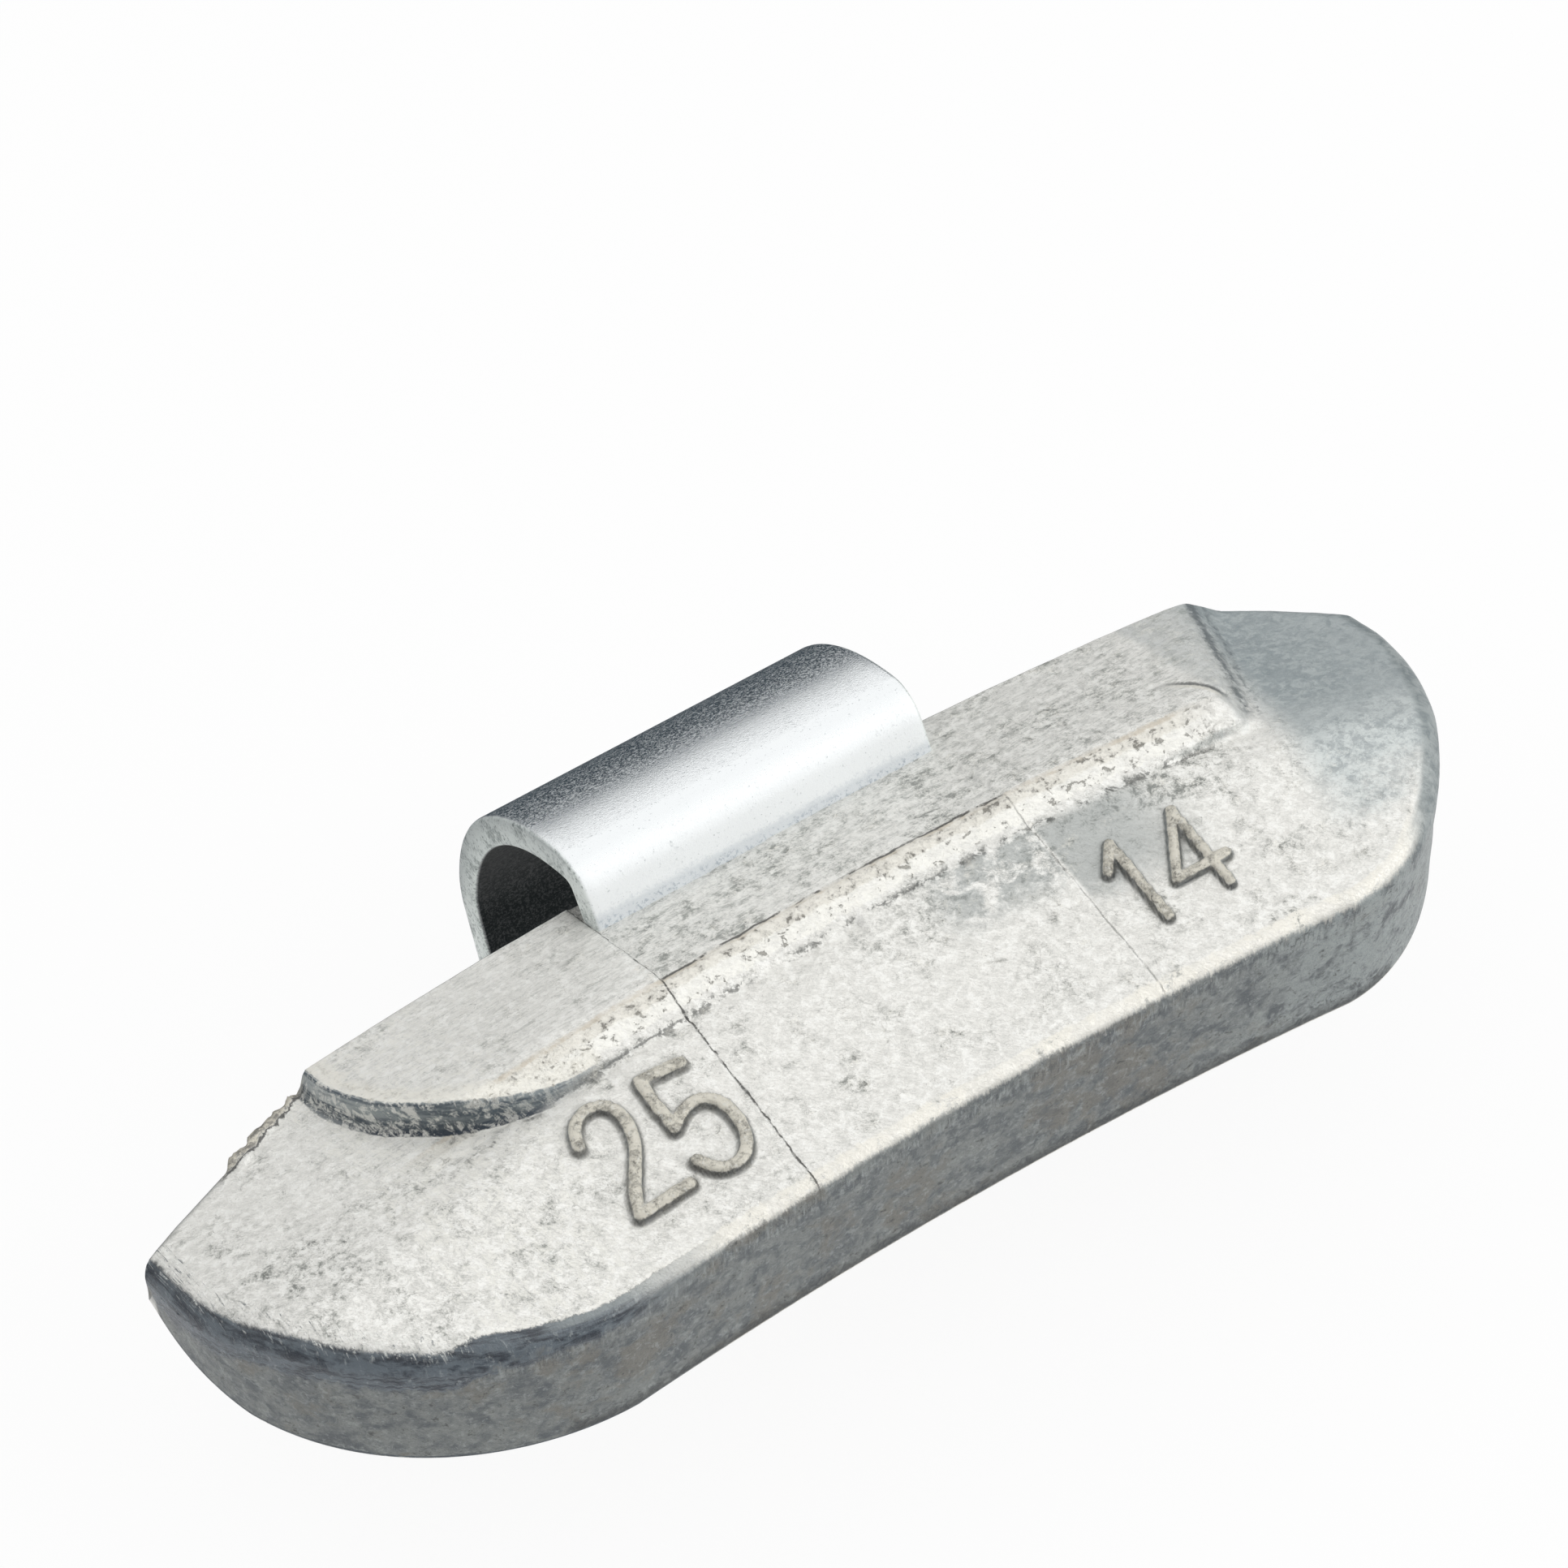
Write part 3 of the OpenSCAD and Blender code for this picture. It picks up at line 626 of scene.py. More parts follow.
def zinc_finish(f, s):
    """Dull cast zinc: a pale skin with a wormy grey grain, blotches, specks and hair lines, upright walls darkened
    partly by painted shade, a band round the left corner darkened by a painted reflection and scored across, painted
    highlights on the ridge and edges, painted shade on the numbers' sides, and thin parting lines."""
    sh = Shader("cast_zinc")
    mm, (x, y, z) = sh.places()
    radius = (s.rim_radius - s.depth) / MM
    flat = sh.node("ShaderNodeCombineXYZ", None, x, y + s.rim_radius / MM, 0.0).outputs[0]
    place = sh.num("ShaderNodeVectorMath", {"operation": "LENGTH"}, flat, output=1) - radius
    upright, band, run = sh.attribute("upright"), sh.attribute("band"), sh.attribute("run")
    rib_gap, far_gap, ramp = sh.attribute("rib_gap"), sh.attribute("far_gap"), sh.attribute("ramp")
    in_middle = 1 - abs(x).rise(6.65, 6.85)
    behind_ridge = place.rise(9.3, 9.7)
    topside = z.rise(1.8, 2.6)

    coarse = sh.noise(mm, 0.35, 3.0, 0.5)
    patches = sh.noise(mm, 0.95, 8.0, 0.62, 0.5)
    clouds = sh.noise(mm, 2.3, 5.0, 0.62, 0.9)
    specks = sh.noise(mm, 5.5, 5.0, 0.72)
    grain = sh.noise(mm, 12.0, 3.0, 0.6)
    fine = sh.noise(mm, 2.6, 9.0, 0.80, 0.3)
    worm = 1 - abs(sh.noise(sh.mapped(mm, (0, 0, math.radians(47)), (3.6, 7.6, 5.0)), 1.0, 2.0, 0.6, 1.3) - 0.5) \
        .rise(0.008, 0.062)
    drawn = sh.noise(sh.mapped(mm, (0, 0, math.radians(-4)), (1.0, 7.0, 3.0)), 1.0, 7.0, 0.80, 1.1)

    def hair_lines(angle, width, seed):
        """Thin wavy lines where a noise that is stretched along one direction passes its middle value."""
        noise = sh.noise(sh.mapped(mm, (0, 0, math.radians(angle)), (0.45, 2.6, 1.0), (seed, seed * 0.7, 0)), 1.0, 2.0,
                         0.4, 0.7)
        return (1 - abs(noise - 0.5).rise(width * 0.3, width)) * (clouds * 0.6 + patches * 0.5).rise(0.55, 0.68)

    hairs = hair_lines(34, 0.010, 3.0).high(hair_lines(-58, 0.009, 11.0)).high(hair_lines(8, 0.007, 19.0))

    # How grey each zone of the top is: the left end, the foot of the ridge, the slope behind the ridge
    left = 1 - x.rise(-16.0, -9.0)
    foot_zone = (1 - abs(place - 7.1).rise(0.3, 1.5)) * x.rise(-4.0, 3.0) * (1 - abs(x - 6.0).rise(7.5, 10.0))
    zone = left * (1 - behind_ridge) * 0.26 + foot_zone * 0.42 + behind_ridge * in_middle * 0.36 \
        + x.rise(6.8, 7.0) * behind_ridge * 0.28
    blotch = (patches * 0.7 + coarse * 0.35 + zone * 0.22).rise(0.50, 0.72)
    grey = worm * (0.14 + blotch * 0.24 + zone * 0.20) + fine.rise(0.49, 0.60) * (0.16 + blotch * 0.55 + zone * 0.4) \
        + blotch * 0.16 + zone * 0.12
    grey = grey + (grain - 0.5) * 0.5
    colour = sh.mix(grey.high(0.0).low(0.95), f.zinc_pale, f.zinc_grey)
    streaked = behind_ridge * (1 - (1 - x.rise(-19.5, -17.5)) * 0.7)
    colour = sh.mix(drawn.rise(0.50, 0.60) * streaked * 0.38, colour, linear(166, 170, 165))
    dark_specks = (fine * 0.75 + blotch * 0.10 + clouds * 0.15 + zone * 0.03).rise(0.56, 0.635)
    colour = sh.mix(dark_specks * (0.62 - behind_ridge * 0.2), colour, linear(108, 111, 107))
    colour = sh.mix(hairs * 0.45, colour, f.zinc_dark_and_shade)
    # Pale flecks and streaks on the top, partly painted glints
    bright = fine.rise(0.49, 0.42).high(drawn.rise(0.48, 0.42) * streaked * 0.6)
    colour = sh.mix(bright * (0.7 - behind_ridge * in_middle * 0.22), colour, linear(250, 250, 246))

    # Painted blue-grey shade on the right end's top, which slopes away from the lamps, and the bluish face between the
    # parting line and the numbers
    end_place = place + (coarse - 0.5) * 5.0 + (clouds - 0.5) * 2.4
    blue = (x - y * 0.17).rise(17.0, 18.8) * end_place.rise(1.9, 5.0)
    blue_shade_tone = sh.mix((clouds * 0.5 + specks * 0.35 + fine * 0.3).rise(0.52, 0.66), f.zinc_blue_shade, linear(170, 179, 180))
    blue_shade_tone = sh.mix(end_place.rise(5.6, 9.8), sh.mix(fine.rise(0.44, 0.58), linear(206, 213, 212), linear(166, 174, 176)),
                       blue_shade_tone)
    colour = sh.mix(blue * 0.88, colour, blue_shade_tone)
    colour = sh.mix(x.rise(18.6, 22.4) * (patches * 0.6 + clouds * 0.5).rise(0.42, 0.62) * 0.7, colour, linear(176, 183, 184))
    smooth = x.rise(6.8, 7.0) * (1 - x.rise(9.2, 12.6)) * (place + (patches - 0.5) * 3.0).rise(3.6, 5.4) \
        * (1 - place.rise(7.6, 8.3))
    dull = (1 - abs(x - 4.8).rise(1.4, 3.2)) * (1 - x.rise(6.7, 6.8)) * place.rise(4.8, 6.2) * (1 - place.rise(7.8, 8.2)) \
        * (patches + (fine - 0.5) * 0.6).rise(0.36, 0.56)
    colour = sh.mix(smooth.high(dull) * topside * 0.82, colour, sh.mix(fine.rise(0.52, 0.62), linear(176, 180, 178),
                                                            linear(146, 150, 147)))
    ramp_tone = sh.mix((clouds * 0.4 + patches * 0.3 + fine * 0.3).rise(0.46, 0.60), linear(142, 152, 155),
                       linear(204, 208, 204))
    colour = sh.mix((ramp + (patches - 0.5) * 0.8).rise(0.3, 0.9) * (1 - blue) * 0.36, colour, ramp_tone)
    # A dark streak of painted shade along the valley at the far side of the ramp, and a fainter second one beside it
    across_valley = x - y * 0.36 - 18.6 + (clouds - 0.5) * 0.7 + (patches - 0.5) * 0.8
    valley_shade = (1 - abs(across_valley).rise(0.04, 0.36)) * (patches * 0.4 + clouds * 0.4 + fine * 0.3).rise(0.45, 0.57)
    second = (1 - abs(across_valley - 0.55).rise(0.02, 0.22)) * (clouds * 0.5 + fine * 0.5).rise(0.46, 0.54) * 0.7
    colour = sh.mix(valley_shade.high(second) * place.rise(8.4, 9.2) * 0.75, colour, linear(66, 76, 82))

    # The ridge: a painted highlight on its chamfer, a warm pitted crest, and painted shade in ragged spots and a thin
    # line at its foot
    ragged = (grain - 0.5) * 0.4 + (patches - 0.5) * 1.1 + (clouds - 0.5) * 0.7
    along_ridge = (1 - abs(x + 1.2).rise(14.0, 16.5)) * topside
    line = (1 - abs(place - 9.52 + ragged * 0.35).rise(0.05, 0.16)) * along_ridge
    shelf = (1 - abs(place - 9.2 + ragged * 0.4).rise(0.22, 0.34)) * along_ridge
    chamfer = (1 - abs(place - 8.66 + ragged * 0.45).rise(0.26, 0.36)) * along_ridge
    colour = sh.mix(shelf * 0.6, colour, sh.mix((fine * 0.6 + clouds * 0.4).rise(0.47, 0.57), linear(230, 226, 214),
                                                linear(180, 176, 166)))
    # Painted highlight on the ridge's chamfer
    colour = sh.mix(chamfer * (0.4 + clouds.rise(0.40, 0.52) * 0.45), colour, linear(249, 248, 241))
    colour = sh.mix(line * (0.3 + patches.rise(0.44, 0.58) * 0.5), colour, linear(206, 197, 181))
    # Painted shade in the groove at the ridge's foot
    foot = (1 - abs(place - 8.05 + ragged * 0.6).rise(0.02, 0.22)) * (patches * 0.4 + clouds * 0.4 + fine * 0.3) \
        .rise(0.545, 0.585) * along_ridge
    foot_shade_line = (1 - abs(place - 8.02 + ragged * 0.16).rise(0.01, 0.05)) * (1 - x.rise(-7.0, -6.8)) \
        * x.rise(-13.5, -11.5) * topside
    colour = sh.mix(foot.high(foot_shade_line * clouds.rise(0.40, 0.50)) * 0.72, colour, f.zinc_dark_and_shade)
    pits = chamfer.high(shelf) * (fine * 0.6 + clouds * 0.4 + x.rise(7.0, 9.0) * 0.02).rise(0.555, 0.60)
    colour = sh.mix(pits * 0.65, colour, linear(112, 108, 98))

    # The left end's step down from the rib: a painted highlight along its top edge, a painted blue-black reflection in
    # its middle, streaks and a soft foot
    scrape = sh.node("ShaderNodeCombineXYZ", None, run * 0.8, band * 6.0, rib_gap * 7.0).outputs[0]
    scrapes = sh.noise(scrape, 1.0, 5.0, 0.72, 0.3)
    step_line = rib_gap + (clouds - 0.5) * 0.12 + (fine - 0.5) * 0.2
    step_wall = sh.attribute("step_high") * step_line.rise(-0.02, 0.05) * (1 - step_line.rise(0.50, 0.58))
    step_dark_reflection = (x + (clouds - 0.5) * 2.0).rise(-18.3, -16.6)
    step_reflection_tone = sh.mix((scrapes * 0.9 + fine * 0.1).rise(0.42, 0.58), linear(86, 96, 104), linear(140, 148, 150))
    step_reflection_tone = sh.mix((1 - step_dark_reflection) * scrapes.rise(0.44, 0.56) * 0.8, step_reflection_tone, linear(198, 203, 202))
    step_reflection_tone = sh.mix((1 - step_line.rise(0.08, 0.36)) * (0.5 + step_dark_reflection * 0.4), step_reflection_tone, linear(44, 54, 66))
    step_rim_highlight = sh.attribute("step_high").rise(0.1, 0.5) * step_line.rise(0.5, 0.56) \
        * (1 - (step_line + (patches - 0.5) * 1.6).rise(0.95, 1.5))
    cream = sh.mix((fine * 0.6 + clouds * 0.4).rise(0.49, 0.57), linear(240, 238, 229), linear(192, 188, 175))
    colour = sh.mix(step_rim_highlight * (0.55 + fine.rise(0.56, 0.46) * 0.4), colour, cream)
    colour = sh.mix(step_wall, colour, step_reflection_tone)

    # Upright walls: a darker mottled tone, partly the zinc's own and partly painted shade where the walls turn away
    # from the lamps above
    wall_shade_tone = sh.mix((patches * 0.5 + clouds * 0.4 + fine * 0.2).rise(0.45, 0.62), linear(86, 92, 96),
                       linear(132, 136, 134))
    wall_shade_tone = sh.mix((coarse * 0.5 + patches * 0.5).rise(0.50, 0.60) * 0.55, wall_shade_tone, linear(116, 110, 100))
    wall_shade_tone = sh.mix((x + (coarse - 0.5) * 8.0).rise(7.0, 14.0) * (patches * 0.6 + clouds * 0.5).rise(0.42, 0.60) * 0.75,
                       wall_shade_tone, linear(160, 168, 168))
    wall_shade_tone = sh.mix(worm * 0.25, wall_shade_tone, linear(82, 88, 91))
    wall_shade_tone = sh.mix(fine.rise(0.47, 0.40) * 0.5, wall_shade_tone, linear(164, 169, 167))
    wall_shade_tone = sh.mix((fine * 0.7 + clouds * 0.3).rise(0.545, 0.61) * 0.75, wall_shade_tone, linear(50, 53, 54))
    # Painted shade along the lower edge of the walls, where they meet the back
    low_edge_shade = (1 - (z + (clouds - 0.5) * 1.4).rise(0.1, 0.9)) * (1 - place.rise(0.4, 0.6))
    wall_shade_tone = sh.mix(low_edge_shade * 0.7, wall_shade_tone, linear(44, 47, 48))
    fringe_way = sh.node("ShaderNodeCombineXYZ", None, run * 7.0, band * 1.3, 0.0).outputs[0]
    fringe = sh.noise(fringe_way, 1.0, 3.0, 0.65, 0.2)
    fringe_zone = band.rise(0.9, 1.02) * (1 - band.rise(1.15, 2.1))
    wall_shade_tone = sh.mix(fringe.rise(0.52, 0.64) * fringe_zone * 0.6, wall_shade_tone, linear(158, 164, 163))
    wall_shade_tone = sh.mix(fringe.rise(0.46, 0.36) * fringe_zone * 0.6, wall_shade_tone, linear(62, 68, 72))
    colour = sh.mix(upright * (1 - step_wall) * (1 - step_rim_highlight) * (1 - ramp), colour, wall_shade_tone)

    # The near edge: a painted cream highlight along its rounding, ragged where the wall starts
    right_tip = x.rise(16.4, 18.6)
    edge_highlight = (band + ragged * 0.3).rise(0.02, 0.16) * (1 - (band + ragged * 0.45 + (fringe - 0.5) * 0.5).rise(0.70, 0.92))
    edge_highlight = edge_highlight * (0.55 + patches.rise(0.40, 0.56) * 0.45) * (1 - left) * (1 - right_tip) \
        * (1 - (fine * 0.7 + patches * 0.3).rise(0.545, 0.60) * 0.8)
    colour = sh.mix(edge_highlight * 0.85, colour, linear(240, 237, 227))
    # Grey-blue painted shade on the rounding round the right tip, where the edge turns away from the lamps
    tip_shade_tone = sh.mix((clouds * 0.6 + patches * 0.5).rise(0.46, 0.64), linear(120, 130, 132), linear(160, 167, 167))
    colour = sh.mix(band.rise(0.15, 0.5) * right_tip * (1 - band.rise(1.0, 1.2)) * 0.85, colour, tip_shade_tone)
    # Round the left corner the edge is darkened by a painted reflection and scored across, with bright torn lines
    across = sh.node("ShaderNodeCombineXYZ", None, run * 4.6, band * 1.9 + run * 0.9, y * 0.8).outputs[0]
    tears = sh.noise(across, 1.0, 5.0, 0.74, 0.7)
    corner = 1 - (x + (patches - 0.5) * 3.5 + (fine - 0.5) * 2.0).rise(-15.5, -9.0)
    crumpled = 1 - (x + (patches - 0.5) * 2.0).rise(-20.4, -18.4)
    start = band + (tears - 0.5) * 0.35 + (fine - 0.5) * 0.4 - crumpled * 0.48
    dark_band_reflection = start.rise(0.10, 0.20) * corner \
        * (1 - (band + (tears - 0.5) * 0.6 + (patches - 0.5) * 1.3 - crumpled * 0.75).rise(0.92, 1.3))
    band_reflection_tone = sh.mix((scrapes * 0.6 + patches * 0.25 + fine * 0.2).rise(0.44, 0.58), linear(34, 42, 54),
                       linear(98, 108, 116))
    upper = (1 - (band + (scrapes - 0.5) * 0.8).rise(0.42, 0.62)) * x.rise(-17.4, -16.0)
    band_reflection_tone = sh.mix(upper * 0.85, band_reflection_tone, linear(140, 148, 150))
    band_reflection_tone = sh.mix((fine * 0.6 + tears * 0.4).rise(0.54, 0.61) * 0.6, band_reflection_tone, linear(156, 162, 163))
    band_reflection_tone = sh.mix((x + (scrapes - 0.5) * 6.0).rise(-15.5, -10.0) * 0.7, band_reflection_tone, linear(160, 165, 164))
    colour = sh.mix(dark_band_reflection * 0.94, colour, band_reflection_tone)
    # Pale folds and dark gaps in the crumpled tip: painted light and shade of its relief
    folds = (tears * 0.6 + fine * 0.4)
    shown = band.rise(0.04, 0.14) * crumpled
    colour = sh.mix(folds.rise(0.47, 0.40) * shown * (1 - band.rise(0.7, 0.95)) * 0.8, colour, linear(86, 94, 98))
    colour = sh.mix(folds.rise(0.53, 0.60) * shown * (1 - (band + (fine - 0.5)).rise(0.66, 0.95)) * 0.9, colour,
                    linear(240, 241, 236))
    # A painted highlight along the upper rim of the dark band
    rim = (1 - abs(start - 0.06).rise(0.03, 0.09)) * corner * (1 - crumpled) * clouds.rise(0.42, 0.54)
    colour = sh.mix(rim * 0.7, colour, linear(244, 243, 236))

    # The numbers: rubbed beige crowns, and painted shade on their sides, most where they face the near wall
    stroke_gap = sh.attribute("stroke_gap") + (fine - 0.5) * 0.10 + (clouds - 0.5) * 0.05
    crown = sh.mix((fine * 0.6 + clouds * 0.3 + grain * 0.1).rise(0.47, 0.57), linear(214, 210, 197), linear(158, 155, 145))
    crown = sh.mix((fine * 0.8 + grain * 0.2).rise(0.56, 0.61) * 0.7, crown, linear(92, 90, 84))
    crown = sh.mix(specks.rise(0.56, 0.62) * 0.6, crown, linear(214, 214, 208))
    stroke_shade_tone = sh.mix((fine * 0.6 + grain * 0.4).rise(0.46, 0.58), linear(44, 44, 42), linear(104, 103, 97))
    # Painted shade along the strokes' sides
    side = (1 - stroke_gap.rise(0.28, 0.36)) * (0.05 + (fine * 0.5 + clouds * 0.5).rise(0.44, 0.56) * 0.22)
    side = side + (1 - stroke_gap.rise(0.33, 0.42)) * sh.attribute("faces_near") * 0.52
    colour = sh.mix(side.low(0.95), colour, stroke_shade_tone)
    colour = sh.mix((1 - stroke_gap.rise(0.185, 0.225)) * 0.9, colour, crown)
    # The left end's far edge: a thin torn fin with a dark crack behind it
    at_fin = x.rise(-22.2, -21.4) * (1 - x.rise(-17.9, -17.5)) * place.rise(9.0, 10.0)
    fin_line = far_gap + (clouds - 0.5) * 0.5 + (patches - 0.5) * 0.7
    colour = sh.mix((1 - fin_line.rise(0.12, 0.22)) * at_fin * 0.8, colour,
                    sh.mix(fine.rise(0.46, 0.56), linear(214, 208, 192), linear(120, 116, 108)))
    colour = sh.mix((1 - abs(fin_line - 0.24).rise(0.02, 0.09)) * at_fin * 0.85, colour, linear(52, 52, 50))
    # The curved crack at the ridge's right end, with a pale lip on its inner side
    cx, cy, cr = END_CRACK
    reach = sh.node("ShaderNodeCombineXYZ", None, x - cx, y - cy, 0.0).outputs[0]
    arc = sh.num("ShaderNodeVectorMath", {"operation": "LENGTH"}, reach, output=1) - cr + (clouds - 0.5) * 0.3
    at_arc = x.rise(13.9, 14.9) * y.rise(-6.9, -6.3) * topside
    colour = sh.mix((1 - abs(arc + 0.2).rise(0.05, 0.18)) * at_arc * 0.5, colour, linear(232, 228, 214))
    colour = sh.mix((1 - (abs(arc) + (fine - 0.5) * 0.25).rise(0.03, 0.16)) * at_arc * 0.8, colour, linear(62, 66, 66))

    # Parting lines of the middle insert and the crack behind the ridge
    wobble = (patches - 0.5) * 0.22 + (clouds - 0.5) * 0.1
    parting = (1 - (abs(abs(x) - 6.8 + wobble) - (fine - 0.5) * 0.12).rise(0.008, 0.045)) * (1 - upright * 0.8)
    parting = parting * (1 - x.rise(0.0, 1.0) * (0.5 + behind_ridge * 0.5)) * (0.35 + clouds.rise(0.40, 0.52) * 0.65)
    crack = (1 - abs(place - 9.62 + wobble * 1.6).rise(0.02, 0.08)) * in_middle * topside \
        * (patches + coarse * 0.3).rise(0.56, 0.64)
    lines = parting.high(crack)
    colour = sh.mix(lines * 0.85, colour, linear(48, 48, 46))

    gloss = 0.40 + blotch * 0.10 + worm * 0.08 - dark_band_reflection * 0.08
    height = specks * 0.30 + fine * 0.7 + worm * 0.15 + grain * 0.22 + clouds * 0.35 + tears * dark_band_reflection * 0.9 \
        - lines * 1.4 + scrapes * step_wall * 0.8 - pits * 0.8
    skin = sh.bump(height, 0.85, 0.04 * MM)
    shade = sh.node("ShaderNodeBsdfPrincipled", None, Base_Color=colour, Roughness=gloss, Metallic=0.35,
                    Normal=skin)
    return sh.finish(shade)


# ---------------------------------------------------------------- the clip

def strip_line(c):
    """The strip's middle line in the plane across the rim: points and directions, from just inside the rib over
    the heel, the hook's back and its nose to the end of the leg. Each bend is an arc of its middle radius."""
    foot = np.array([-1.55, 3.7]) * MM
    pieces, place, angle = [], foot - 0.9 * MM * np.array([math.cos(math.radians(58)), math.sin(math.radians(58))]), 58.0
    plan = [(2.1 * MM, 0.0, 8), (c.heel_radius, 79.0, 40), (c.hook_radius, 63.5, 60), (c.nose_radius, 23.0, 24),
            (c.leg_length, 0.0, 16)]
    for size, turn, steps in plan:
        t = np.linspace(0, 1, steps, endpoint=False)
        a = np.radians(angle - turn * t)
        start = math.radians(angle)
        if turn:
            centre = place - size * np.array([-math.sin(start), math.cos(start)])
            points = centre + size * np.stack([-np.sin(a), np.cos(a)], 1)
            end = math.radians(angle - turn)
            place = centre + size * np.array([-math.sin(end), math.cos(end)])
        else:
            heading = np.array([math.cos(start), math.sin(start)])
            points = place + t[:, None] * size * heading
            place = place + size * heading
        pieces.append(np.column_stack([points, a]))
        angle -= turn
    pieces.append(np.array([[*place, math.radians(angle)]]))
    return np.vstack(pieces)


def bend_clip(c):
    """The strip as one skin: a flat rounded section carried along its middle line."""
    line = strip_line(c)
    half, thick, r = c.width / 2, c.thickness / 2, c.edge_radius
    quarter = np.radians(np.linspace(0, 90, 5))
    corners = []
    for middle_x, middle_n, start in ((half - r, thick - r, 0), (-(half - r), thick - r, 90),
                                      (-(half - r), -(thick - r), 180), (half - r, -(thick - r), 270)):
        a = quarter + math.radians(start)
        corners.append(np.stack([middle_x + r * np.cos(a), middle_n + r * np.sin(a)], 1))
    across = np.linspace(1, -1, 42)[1:-1, None]
    upper = np.hstack([across * (half - r), np.full((40, 1), thick)])
    lower = np.hstack([-across * (half - r), np.full((40, 1), -thick)])
    section = np.vstack([corners[0], upper, corners[1], corners[2], lower, corners[3]])
    normal = np.stack([-np.sin(line[:, 2]), np.cos(line[:, 2])], 1)
    across_y = line[:, None, 0] + section[None, :, 1] * normal[:, None, 0]
    up = line[:, None, 1] + section[None, :, 1] * normal[:, None, 1]
    x = np.broadcast_to(section[None, :, 0], across_y.shape)
    y = np.clip(across_y, CLIP_LOW.y, CLIP_HIGH.y)
    z = np.clip(up, CLIP_LOW.z, CLIP_HIGH.z)
    side = np.clip(section[:, 1] / thick, -1, 1)
    inner = np.tile(ease(-side * 1.6 - 0.4), (len(line), 1))
    end_face = np.tile(ease((np.abs(section[:, 0]) - half + 0.12 * MM) / (0.06 * MM)), (len(line), 1))
    run = np.concatenate([[0], np.cumsum(np.hypot(*np.diff(line[:, :2], axis=0).T))])
    along = np.tile((run / MM)[:, None], (1, len(section)))
    rings = np.dstack([x, y, z])[:, ::-1]
    attributes = {"inner": inner[:, ::-1], "end_face": end_face[:, ::-1], "along": along}
    return loops_to_mesh("clip_skin", rings, attributes)


def plate_finish(f):
    """Bright zinc plating with faint rolling lines and fine specks, dull sheared edges, painted reflections on the
    hook's back and at its foot, and painted shade on the inside.
    """
    sh = Shader("bright_plate")
    mm = sh.places()[0]
    inner, end_face, along = sh.attribute("inner"), sh.attribute("end_face"), sh.attribute("along")
    specks = sh.noise(mm, 7.0, 6.0, 0.75)
    flecks = sh.noise(sh.mapped(mm, (0, 0, 0.5), (3.0, 9.0, 6.0)), 1.0, 3.0, 0.6, 1.0)
    clouds = sh.noise(mm, 0.9, 4.0, 0.6)
    grain = sh.noise(mm, 14.0, 3.0, 0.7)
    # By length along the strip: its upright foot leaves the rib at 1 mm, and the hook's back turns down from 5 mm on
    foot = 1 - along.rise(2.3, 3.1)
    bend = along.rise(4.7, 5.9)
    colour = sh.mix((specks * 0.6 + clouds * 0.4).rise(0.54, 0.68) * 0.2, f.plate, linear(200, 207, 208))
    colour = sh.mix((specks * 0.7 + grain * 0.3).rise(0.60, 0.68) * 0.5, colour, linear(120, 128, 130))
    # Painted dark blue-grey reflection on the hook's back, where it turns down
    colour = sh.mix((specks * 0.6 + grain * 0.4).rise(0.51, 0.58) * bend * 0.6, colour, linear(104, 116, 124))
    # Painted bluish reflection of the body where the strip leaves the rib
    foot_reflection = (1 - (along + (specks - 0.5) * 1.4).rise(1.15, 1.5)) * (0.4 + specks.rise(0.5, 0.6) * 0.6)
    colour = sh.mix(foot_reflection * 0.7, colour, linear(150, 163, 176))
    cut = sh.mix((specks * 0.5 + clouds * 0.5).rise(0.46, 0.62), f.plate_edge, linear(164, 172, 170))
    cut = sh.mix((specks * 0.6 + grain * 0.4).rise(0.56, 0.66) * 0.6, cut, linear(96, 102, 102))
    cut = sh.mix((flecks * 0.6 + specks * 0.4).rise(0.45, 0.36) * 0.7, cut, linear(236, 240, 238))
    colour = sh.mix(end_face, colour, cut)
    colour = sh.mix(inner * (1 - end_face), colour, f.plate_inside_shade)
    sparkle = (specks * 0.65 + grain * 0.35).rise(0.50, 0.44) * bend
    colour = sh.mix(sparkle * (1 - end_face) * (1 - inner), colour, linear(226, 231, 232))
    gloss = 0.13 + specks.rise(0.42, 0.66) * 0.12 + end_face * 0.26 + inner * 0.3 + foot * 0.25
    metal = (1 - sparkle * 0.6) * (1 - foot * 0.9) * (1 - end_face * 0.5) * (1 - inner * 0.1)
    height = specks * 0.7 + grain * 0.6 + flecks.rise(0.6, 0.8) * 0.5 + clouds * 0.3
    skin = sh.bump(height, 0.7, 0.016 * MM)
    shade = sh.node("ShaderNodeBsdfPrincipled", None, Base_Color=colour, Roughness=gloss, Metallic=metal, Normal=skin)
    return sh.finish(shade)


# ---------------------------------------------------------------- operators

class WEIGHT_OT_body(bpy.types.Operator):
    """Cast the zinc body with its rib, numbers and parting lines"""
    bl_idname = "balance_weight.body"
    bl_label = "Cast the body"

    def execute(self, context):
        s, f = context.scene.weight_body, context.scene.weight_finish
        piece = add_piece("cast_body", cast_body(s), zinc_finish(f, s), "weight_body")
        if not piece.data.polygons:
            raise RuntimeError("the body came out empty")
        return {"FINISHED"}


class WEIGHT_OT_clip(bpy.types.Operator):
    """Bend the steel strip into its hook"""
    bl_idname = "balance_weight.clip"
    bl_label = "Bend the clip"

    def execute(self, context):
        piece = add_piece("hook_clip", bend_clip(context.scene.weight_clip), plate_finish(context.scene.weight_finish),
                          "clip")
        if not piece.data.polygons:
            raise RuntimeError("the clip came out empty")
        return {"FINISHED"}


